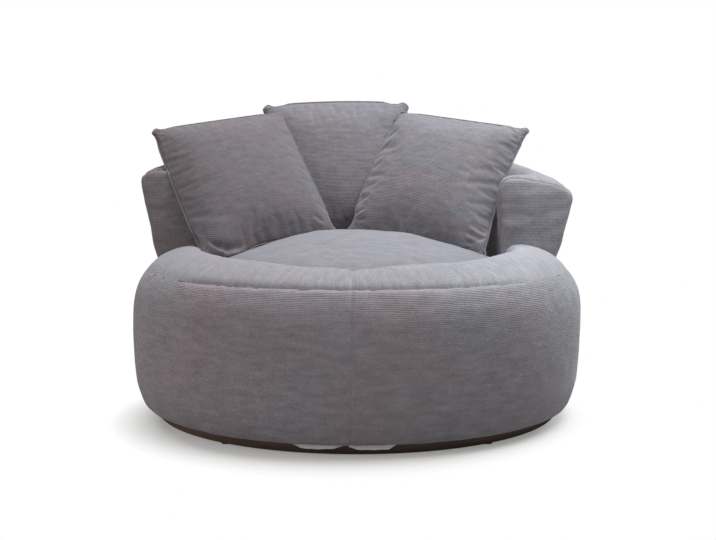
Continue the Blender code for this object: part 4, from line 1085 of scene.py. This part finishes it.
def pillow_rest(given, thick):
    """A square pillow lying in its own X and Z, front at -Y: two grids that share their rim."""
    places = np.linspace(-1.0, 1.0, PILLOW_STEPS + 1)
    places = 0.5 * places + 0.5 * np.sin(math.pi / 2 * places)
    s, t = np.meshgrid(places, places)
    half = given["side"] / 2
    left, right, lower, upper = given["bows"]
    x = half * s + np.where(s < 0, -left, right) * np.abs(s) ** 3 * (1.0 - t * t)
    z = half * t + np.where(t < 0, -lower, upper) * np.abs(t) ** 3 * (1.0 - s * s)
    swell = np.clip((1.0 - s * s) * (1.0 - t * t), 0.0, None) ** PILLOW_FULLNESS
    swell = swell * (1.0 - 0.10 * t * (1.0 - t * t))
    flat = np.stack([x, z], axis=-1)
    sheets = []
    for face in (-1.0, 1.0):
        lumps = 0.0008 * swells(flat, 0.03, given["seed"] + int(face)) * (swell > 0)
        sheets.append(np.stack([x, face * (thick / 2 * swell + lumps), z], axis=-1))
    return sheets[0], sheets[1]


def pillow_mesh(name, given, thick, material):
    """Both faces welded along the rim, with the rim's vertex numbers in order."""
    front, back = pillow_rest(given, thick)
    steps = PILLOW_STEPS
    size = steps + 1
    number = np.arange(size * size).reshape(size, size)
    behind = -np.ones((size, size), int)
    behind[1:-1, 1:-1] = size * size + np.arange((size - 2) ** 2).reshape(size - 2, size - 2)
    rim = np.ones((size, size), bool)
    rim[1:-1, 1:-1] = False
    behind[rim] = number[rim]
    points = np.vstack([front.reshape(-1, 3), back[1:-1, 1:-1].reshape(-1, 3)])
    faces = []
    for i in range(steps):
        for j in range(steps):
            faces.append((number[i, j], number[i, j + 1], number[i + 1, j + 1], number[i + 1, j]))
            faces.append((behind[i, j], behind[i + 1, j], behind[i + 1, j + 1], behind[i, j + 1]))
    faces = [tuple(int(k) for k in face) for face in faces]
    loop = [*number[0], *number[1:, -1], *number[-1, -2::-1], *number[-2:0:-1, 0]]
    piece = cloth_object(name, points, faces, points[:, [0, 2]], material)
    return piece, [int(k) for k in loop]


def mesh_points(mesh):
    points = np.zeros(len(mesh.vertices) * 3, np.float64)
    mesh.vertices.foreach_get("co", points)
    return points.reshape(-1, 3)


def set_points(mesh, points):
    mesh.vertices.foreach_set("co", np.asarray(points, np.float64).ravel())
    mesh.update()


def plump(piece, rim, spare):
    """Blows up a pillow whose cloth is a little too large for its seam, so that it puckers there."""
    rest = mesh_points(piece.data)
    held = piece.vertex_groups.new(name="seam")
    held.add(rim, 1.0, "REPLACE")
    modifier = piece.modifiers.new("plump", "CLOTH")
    settings = modifier.settings
    settings.quality = 6
    settings.mass = 0.2
    settings.tension_stiffness = 15.0
    settings.compression_stiffness = 15.0
    settings.shear_stiffness = 5.0
    settings.bending_stiffness = 0.1
    settings.use_pressure = True
    settings.uniform_pressure_force = 3.0
    settings.effector_weights.gravity = 0.0
    settings.shrink_min = -spare
    settings.vertex_group_mass = held.name
    modifier.point_cache.frame_start = 1
    modifier.point_cache.frame_end = PLUMP_FRAMES
    scene = bpy.context.scene
    for number in range(1, PLUMP_FRAMES + 1):
        scene.frame_set(number)
    graph = bpy.context.evaluated_depsgraph_get()
    blown = mesh_points(piece.evaluated_get(graph).data)
    piece.modifiers.remove(modifier)
    piece.vertex_groups.remove(held)
    scene.frame_set(1)
    move = blown - rest
    length = np.linalg.norm(move, axis=1, keepdims=True)
    set_points(piece.data, rest + move * np.minimum(1.0, PLUMP_MOST / np.maximum(length, 1e-9)))


def creased(points, start, end, depth, width, ridge):
    """Front points pressed in along a line of the pillow's plane, with a ridge below it."""
    a, b = np.array(start), np.array(end)
    span = b - a
    length = np.linalg.norm(span)
    span /= length
    offset = points[:, [0, 2]] - a
    along = offset @ span / length
    side = offset @ np.array([span[1], -span[0]])
    ends = np.exp(-np.clip(np.abs(along - 0.5) - 0.5, 0.0, None) ** 2 * (length / width) ** 2 / 2)
    front = np.clip(-points[:, 1] / 0.012, 0.0, 1.0)
    press = depth * np.exp(-((side / width) ** 2))
    press = press - ridge * depth * np.exp(-((side / width - 1.7) ** 2) / 1.4)
    points = points.copy()
    points[:, 1] += press * ends * front
    return points


def gathered(points, given):
    """Small gathers across the pillow's right-hand seam, both faces."""
    half = given["side"] / 2
    from_edge = half + given["bows"][1] * (1.0 - (points[:, 2] / half) ** 2) - points[:, 0]
    shift = 0.55 * swells(points[:, [2]], 0.10, given["seed"])
    wave = np.sin(math.tau * (points[:, 2] / GATHER_PITCH + shift))
    reach = np.exp(-(((from_edge - GATHER_PLACE) / GATHER_REACH) ** 2))
    reach = reach * np.clip((half - np.abs(points[:, 2])) / 0.03, 0.0, 1.0)
    points = points.copy()
    points[:, 1] += np.sign(points[:, 1]) * given["gathers"] * wave * reach
    return points


def eared(points, given):
    """Every corner drawn in to a short neck with a blunt, crumpled tip."""
    half = given["side"] / 2
    points = points.copy()
    for k, (right, up) in enumerate(((-1, -1), (1, -1), (1, 1), (-1, 1))):
        from_side = half - right * points[:, 0]
        from_top = half - up * points[:, 2]
        deep = (from_side + from_top) / math.sqrt(2.0)
        wide = (from_side - from_top) / math.sqrt(2.0)
        inside = np.clip(deep, 1e-4, None)
        share = np.clip(wide / inside, -1.0, 1.0)
        blend = eased(np.clip((EAR_PLACES[-1] - deep) / EAR_BLEND, 0.0, 1.0))
        crumple = swells(points, EAR_CRUMPLE_SIZE, given["seed"] + 10 + k)
        new_wide = share * np.interp(deep, EAR_PLACES, EAR_WIDTHS)
        thick = np.interp(deep, EAR_PLACES, EAR_THICKNESSES) * np.sqrt(1.0 - share**2)
        folds = EAR_FOLD_DEPTH * np.sin(math.tau * (new_wide / EAR_FOLD_PITCH + 0.2 * k))
        folds = folds * np.clip(thick / 0.006, 0.0, 1.0)
        new_thick = np.sign(points[:, 1]) * (thick + folds + 0.0012 * crumple * (thick > 0.001))
        new_deep = deep + 0.005 * np.exp(-inside / 0.014) + 0.0010 * crumple
        points[:, 0] += blend * (right * (half - (new_deep + new_wide) / math.sqrt(2.0)) - points[:, 0])
        points[:, 2] += blend * (up * (half - (new_deep - new_wide) / math.sqrt(2.0)) - points[:, 2])
        points[:, 1] += blend * (new_thick - points[:, 1])
    return points


def sagging(points, given):
    """The corners pulled out of square and the lower edge let down into the gap below it."""
    amount, place, width = given["sag"]
    half = given["side"] / 2
    s, t = points[:, 0] / half, points[:, 2] / half
    points = points.copy()
    for (across, up), right, above in zip(given["pulls"], (-1, 1, 1, -1), (-1, -1, 1, 1)):
        share = np.clip((1.0 + right * s) * (1.0 + above * t) / 4.0, 0.0, None)
        points[:, 0] += across * share
        points[:, 2] += up * share
    let_down = amount * np.exp(-(((s - place) / width) ** 2))
    points[:, 2] -= let_down * np.clip((-t - 0.3) / 0.7, 0.0, 1.0) ** 1.5
    return points


def tree_of(piece):
    """A piece's surface to search; a panel gives only its outside, so that nothing is pushed behind it."""
    graph = bpy.context.evaluated_depsgraph_get()
    shown = piece.evaluated_get(graph)
    mesh = shown.to_mesh()
    mesh.calc_loop_triangles()
    count, total = PANEL_RINGS.get(piece.name, (1, 1))
    faces = [tuple(t.vertices) for t in mesh.loop_triangles]
    faces = [face for face in faces if all(k % total < count for k in face)]
    points = [piece.matrix_world @ v.co for v in mesh.vertices]
    tree = BVHTree.FromPolygons(points, faces)
    shown.to_mesh_clear()
    return tree


def pressed_out(points, trees, reach=0.05):
    """Points that lie inside a neighbour, put back just outside its surface.

    A point counts as inside only if it lies almost straight behind the nearest spot, so one that is beside a
    panel's open edge stays where it is.
    """
    out = []
    for point in points:
        place = Vector(point)
        for tree in trees:
            spot, normal, _, distance = tree.find_nearest(place, reach)
            if spot is None:
                continue
            inside = (place - spot).dot(normal) < -INSIDE_SHARE * distance
            if inside or distance < PILLOW_CLEARANCE:
                place = spot + normal * PILLOW_CLEARANCE
        out.append(place[:])
    return np.array(out)


def build_seam_ridge(name, points, material):
    """The narrow ridge where a pillow's two faces are sewn together."""
    count = len(points)
    ahead = np.roll(points, -1, axis=0) - np.roll(points, 1, axis=0)
    ahead /= np.linalg.norm(ahead, axis=1)[:, None]
    centre = points.mean(axis=0)
    plane = np.linalg.svd(points - centre)[2][2]
    out = np.cross(ahead, plane)
    out /= np.linalg.norm(out, axis=1)[:, None]
    out *= np.sign(np.sum(out * (points - centre), axis=1))[:, None]
    rings = []
    for k in range(SEAM_RIDGE_SIDES):
        turn = math.tau * k / SEAM_RIDGE_SIDES
        aside = out * (SEAM_RIDGE_REACH * math.cos(turn) + SEAM_RIDGE_OFFSET)
        rings.append(points + aside + plane * SEAM_RIDGE_HALF_THICK * math.sin(turn))
    tube = np.stack(rings, axis=1)
    faces = loop_faces(count, SEAM_RIDGE_SIDES, full_turn=True)
    length = np.repeat(np.linspace(0.0, SEAM_RIDGE_LENGTH, count)[:, None], SEAM_RIDGE_SIDES, axis=1)
    uv = np.stack([length, np.zeros_like(length)], axis=-1)
    piece = cloth_object(name, tube.reshape(-1, 3), faces, uv.reshape(-1, 2), material)
    recalc_outward(piece)
    return piece


def build_pillow(side, supports, material):
    """One scatter pillow, plumped, creased and laid where its solid is, with its sewn edge."""
    given = PILLOWS[side]
    turn, lean, roll = (math.radians(angle) for angle in given["tilt"])
    low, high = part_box(f"{side}_pillow_insert")
    centre = (low + high) / 2 - Vector((0.0, 0.0, given["sink"]))
    matrix = Matrix.Translation(centre) @ Euler((lean, roll, turn), "YXZ").to_matrix().to_4x4()
    thick = PILLOW_FLAT_THICK
    piece, rim = pillow_mesh(f"{side}_pillow_cover", given, thick, material)
    plump(piece, rim, given["spare"])
    points = mesh_points(piece.data)
    for crease in CREASES[side]:
        points = creased(points, *crease)
    set_points(piece.data, sagging(eared(gathered(points, given), given), given))
    piece.data.transform(matrix)
    points = pressed_out(mesh_points(piece.data), [tree_of(other) for other in supports])
    set_points(piece.data, points)
    recalc_outward(piece)
    subdivide = piece.modifiers.new("smooth", "SUBSURF")
    subdivide.levels = subdivide.render_levels = 1
    seam = build_seam_ridge(f"{side}_pillow_seam", points[rim], material)
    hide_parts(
        f"{side}_pillow_insert", f"{side}_pillow_front_panel", f"{side}_pillow_back_panel"
    )
    for item in (piece, seam):
        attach(item, f"{side}_pillow")
    return piece


# Plinth, lining and the parts under the seat


def build_plinth_ring(material):
    low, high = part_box("plinth_ring")
    radius, inner, edge = high.x, high.x - PLINTH_WALL, PLINTH_EDGE
    corners = [
        (radius - edge, low.z),
        (radius, low.z + edge),
        (radius, high.z - edge),
        (radius - edge, high.z),
        (inner + edge, high.z),
        (inner, high.z - edge),
        (inner, low.z + edge),
        (inner + edge, low.z),
    ]
    section = []
    for (r0, z0), (r1, z1) in zip(corners, corners[1:] + corners[:1]):
        span = math.hypot(r1 - r0, z1 - z0)
        pieces = 4 if span < 2 * edge else 3
        section += [(r0 + (r1 - r0) * k / pieces, z0 + (z1 - z0) * k / pieces) for k in range(pieces)]
    section = np.array(section)
    grid = turn_grid(PLINTH_TURNS, len(section))
    points = round_points(section[None, :, 0] * np.ones_like(grid), section[None, :, 1], grid)
    faces = loop_faces(PLINTH_TURNS, len(section), full_turn=True)
    uv = np.stack([np.radians(grid) * radius, np.ones_like(grid) * section[None, :, 1]], axis=-1)
    piece = cloth_object("plinth_ring_wood", points.reshape(-1, 3), faces, uv.reshape(-1, 2), material)
    recalc_outward(piece)
    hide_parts("plinth_ring")
    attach(piece, "plinth")


def build_hem_strip(name, start, end, drops, material):
    """A strip of lining that hangs a little below the hem."""
    angles = np.linspace(start, end, HEM_STRIP_TURNS)
    share = np.linspace(0.0, 1.0, len(drops))
    drop = np.interp(np.linspace(0.0, 1.0, len(angles)), share, drops)
    heights = np.linspace(0.0, 1.0, HEM_STRIP_POINTS)
    radius = LIP_INNER_RADIUS - HEM_STRIP_GAP
    rings = []
    for angle, fall in zip(angles, drop):
        z = (LIP_HEIGHT + HEM_STRIP_TUCK) * (1 - heights) + (LIP_HEIGHT - fall) * heights
        wave = 0.0012 * np.sin(angle * 1.9) * heights + 0.004 * heights
        turn = np.full(HEM_STRIP_POINTS, angle)
        front = round_points(radius + wave, z, turn)
        rear = round_points(radius + wave - HEM_STRIP_THICK, z, turn)
        rings.append(np.vstack([front, rear[::-1]]))
    points = np.array(rings).reshape(-1, 3)
    faces = loop_faces(len(angles), 2 * HEM_STRIP_POINTS)
    piece = cloth_object(name, points, faces, points[:, [0, 2]], material)
    recalc_outward(piece)
    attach(piece, "drum")
    return piece


def build_seat_felt(material):
    """A disc of felt over the straps, a little sunk in the middle."""
    low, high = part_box("deck_felt")
    radius = high.x
    upper = [(share * radius, high.z) for share in (0.0, 0.35, 0.7, 0.94)]
    lower = [(share * radius, low.z) for share in (0.94, 0.7, 0.35, 0.0)]
    edge = [(radius, high.z - FELT_EDGE), (radius, low.z + FELT_EDGE)]
    line = smooth_line([*upper, *edge, *lower], FELT_POINTS)
    count = len(line) - 2
    body = np.repeat(line[None, 1:-1], FELT_TURNS, axis=0)
    place = round_points(body[..., 0], body[..., 1], turn_grid(FELT_TURNS, count)).reshape(-1, 3)
    points = np.vstack([place, [[0, 0, line[0, 1]], [0, 0, line[-1, 1]]]])
    away = np.hypot(points[:, 0], points[:, 1])
    points[:, 2] -= FELT_SAG * np.clip(1 - away / radius, 0, 1) * (1 + swells(points[:, :2], 0.2, 61))
    felt = cloth_object("seat_felt", points, capped_faces(FELT_TURNS, count), points[:, :2], material)
    recalc_outward(felt)
    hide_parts("deck_felt")
    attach(felt, "drum")


def build_webbing(material):
    """Ten elastic straps, five each way, that pass over and under one another."""
    low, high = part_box("seat_webbing")
    reach, step, width = (high.x - low.x) / 2, STRAP_STEP, STRAP_WIDTH
    across = np.array([-0.5, -0.492, 0.492, 0.5, 0.5, 0.492, -0.492, -0.5]) * width
    up = np.array([-0.25, -0.5, -0.5, -0.25, 0.25, 0.5, 0.5, 0.25]) * STRAP_THICK
    sides = len(across)
    points, faces, uv, total = [], [], [], 0.0
    for way in (0, 1):
        for k in range(STRAPS_EACH_WAY):
            offset = (k - (STRAPS_EACH_WAY - 1) / 2) * step
            half = math.sqrt(reach**2 + (width / 2) ** 2 - (abs(offset) + width / 2) ** 2)
            along = np.linspace(-half, half, STRAP_POINTS)
            total += 2 * half
            wave = STRAP_WEAVE * np.cos(math.pi * along / step + math.pi * (k + way))
            ring = np.zeros((len(along), sides, 3))
            ring[..., way] = along[:, None]
            ring[..., 1 - way] = offset + across
            ring[..., 2] = (low.z + high.z) / 2 + wave[:, None] + up
            first = sum(len(part) for part in points)
            faces += [tuple(int(n) + first for n in face) for face in loop_faces(len(along), sides)]
            points.append(ring.reshape(-1, 3))
            lengthways = np.repeat(along[:, None], sides, axis=1)
            uv.append(np.stack([lengthways, np.tile(across, (len(along), 1))], axis=-1).reshape(-1, 2))
    uv = np.concatenate(uv)
    straps = cloth_object("seat_webbing_straps", np.concatenate(points), faces, uv, material)
    recalc_outward(straps)
    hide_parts("seat_webbing")
    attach(straps, "drum")


def build_dust_cover(material):
    """Thin lining stretched under the base board, a little slack between its staples."""
    low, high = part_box("dust_cover")
    inner, outer = DUST_COVER_INNER_RADIUS, high.x - DUST_COVER_EDGE_GAP
    radii = np.linspace(inner, outer, DUST_COVER_POINTS)
    angle = turn_grid(DUST_COVER_TURNS, len(radii))
    upper = round_points(radii[None] * np.ones_like(angle), high.z, angle)
    loose = 0.55 + 0.45 * swells(upper[..., :2], 0.12, 62)
    loose = np.sin(math.pi * (radii - inner) / (outer - inner)) * loose
    upper[..., 2] -= DUST_COVER_SLACK * np.clip(loose, 0.0, None)
    lower = upper.copy()
    lower[..., 2] -= high.z - low.z
    points = np.concatenate([upper, lower[:, ::-1]], axis=1)
    faces = loop_faces(DUST_COVER_TURNS, 2 * len(radii), full_turn=True)
    flat = points.reshape(-1, 3)
    cover = cloth_object("dust_cover_cloth", flat, faces, flat[:, :2], material)
    recalc_outward(cover)
    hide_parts("dust_cover")
    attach(cover, "drum")


# Floor, light and camera


def build_stage():
    """A plain pale floor: it keeps the chair's shadow near it and turns to white further off."""
    reach = FLOOR_REACH
    mesh = bpy.data.meshes.new("floor")
    corners = [(-reach, -reach, 0.0), (reach, -reach, 0.0), (reach, reach, 0.0), (-reach, reach, 0.0)]
    mesh.from_pydata(corners, [], [(0, 1, 2, 3)])
    floor = bpy.data.objects.new("floor", mesh)
    bpy.context.scene.collection.objects.link(floor)
    material = bpy.data.materials.new("pale_floor")
    material.use_nodes = True
    s = NodeBench(material.node_tree)
    s.nodes.clear()
    lit = s.nodes.new("ShaderNodeBsdfDiffuse")
    lit.inputs["Color"].default_value = FLOOR_COLOUR
    shaded = s.nodes.new("ShaderNodeBsdfDiffuse")
    shaded.inputs["Color"].default_value = FLOOR_SEEN_COLOUR
    glow = s.nodes.new("ShaderNodeEmission")
    glow.inputs["Color"].default_value = FLOOR_GLOW_COLOUR
    glow.inputs["Strength"].default_value = FLOOR_GLOW
    both = s.nodes.new("ShaderNodeAddShader")
    s.links.new(shaded.outputs[0], both.inputs[0])
    s.links.new(glow.outputs[0], both.inputs[1])
    white = s.nodes.new("ShaderNodeEmission")
    away = s.nodes.new("ShaderNodeVectorMath")
    away.operation = "DISTANCE"
    away.inputs[1].default_value = SHADOW_CENTRE
    s.links.new(object_place(s), away.inputs[0])
    distant = s.nodes.new("ShaderNodeMixShader")
    s.links.new(s.spread(away.outputs["Value"], *SHADOW_FADES), distant.inputs[0])
    s.links.new(both.outputs[0], distant.inputs[1])
    s.links.new(white.outputs[0], distant.inputs[2])
    white.inputs["Strength"].default_value = 1.0
    path = s.nodes.new("ShaderNodeLightPath")
    choice = s.nodes.new("ShaderNodeMixShader")
    s.links.new(path.outputs["Is Camera Ray"], choice.inputs[0])
    s.links.new(lit.outputs[0], choice.inputs[1])
    s.links.new(distant.outputs[0], choice.inputs[2])
    out = s.nodes.new("ShaderNodeOutputMaterial")
    s.links.new(choice.outputs[0], out.inputs[0])
    mesh.materials.append(material)


def build_world(strength):
    world = bpy.data.worlds.new("studio")
    bpy.context.scene.world = world
    world.use_nodes = True
    s = NodeBench(world.node_tree)
    s.nodes.clear()
    path = s.nodes.new("ShaderNodeLightPath")
    seen = s.math("MAXIMUM", path.outputs["Is Camera Ray"], path.outputs["Is Glossy Ray"])
    seen = s.math("MAXIMUM", seen, path.outputs["Is Transmission Ray"])
    background = s.nodes.new("ShaderNodeBackground")
    background.inputs["Color"].default_value = (1.0, 1.0, 1.0, 1.0)
    s.links.new(s.spread(seen, 0.0, 1.0, strength, 1.0), background.inputs["Strength"])
    out = s.nodes.new("ShaderNodeOutputWorld")
    s.links.new(background.outputs[0], out.inputs[0])


def area_light(name, place, aim, size, power, colour):
    data = bpy.data.lights.new(name, "AREA")
    data.shape = "RECTANGLE"
    data.size, data.size_y = size
    data.energy = power
    data.color = colour
    light = bpy.data.objects.new(name, data)
    light.location = place
    light.rotation_euler = (Vector(aim) - Vector(place)).to_track_quat("-Z", "Y").to_euler()
    bpy.context.scene.collection.objects.link(light)


def build_lights():
    build_world(WORLD_STRENGTH)
    for name, given in LAMPS.items():
        area_light(name, **given)


def build_camera():
    data = bpy.data.cameras.new("photo_camera")
    data.sensor_width = SENSOR_WIDTH
    data.lens = CAMERA_FOCAL_PX / PHOTO_WIDTH_PX * SENSOR_WIDTH
    camera = bpy.data.objects.new("photo_camera", data)
    camera.location = CAMERA_PLACE
    camera.rotation_euler = (math.radians(90.0 - CAMERA_DOWN), 0.0, 0.0)
    bpy.context.scene.collection.objects.link(camera)
    bpy.context.scene.camera = camera


def dress_cad_nodes(materials):
    """Gives every node of the frame that still shows its procedural finish."""
    slots = {part["node"]: part["material_slot"] for part in frame["record"]["subparts"]}
    for name, node in frame["nodes"].items():
        slot = slots[name]
        if slot in materials:
            node.data.materials.clear()
            node.data.materials.append(materials[slot])


def main():
    build_camera()
    build_lights()
    build_stage()
    materials = build_materials()
    dress_cad_nodes(materials)
    drum = build_drum_covering(materials)
    back = build_back_covering(materials)
    cushion = build_seat_cushion(materials["seat"])
    supports = [cushion, drum["drum_top_left"], drum["drum_top_right"], back["inside"]]
    supports += [back["facing_left"], back["facing_right"]]
    for side in PILLOWS:
        supports.append(build_pillow(side, supports, materials[side]))
    build_plinth_ring(materials["dark_wood"])
    left_strip = build_hem_strip("hem_strip_left", *LEFT_HEM_STRIP, materials["hem_lining"])
    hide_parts("hem_lining")
    build_hem_strip("hem_strip_right", *RIGHT_HEM_STRIP, materials["hem_lining"])
    build_seat_felt(materials["felt"])
    build_webbing(materials["webbing"])
    build_dust_cover(materials["lining"])
    bpy.context.scene.view_settings.view_transform = "Standard"


main()
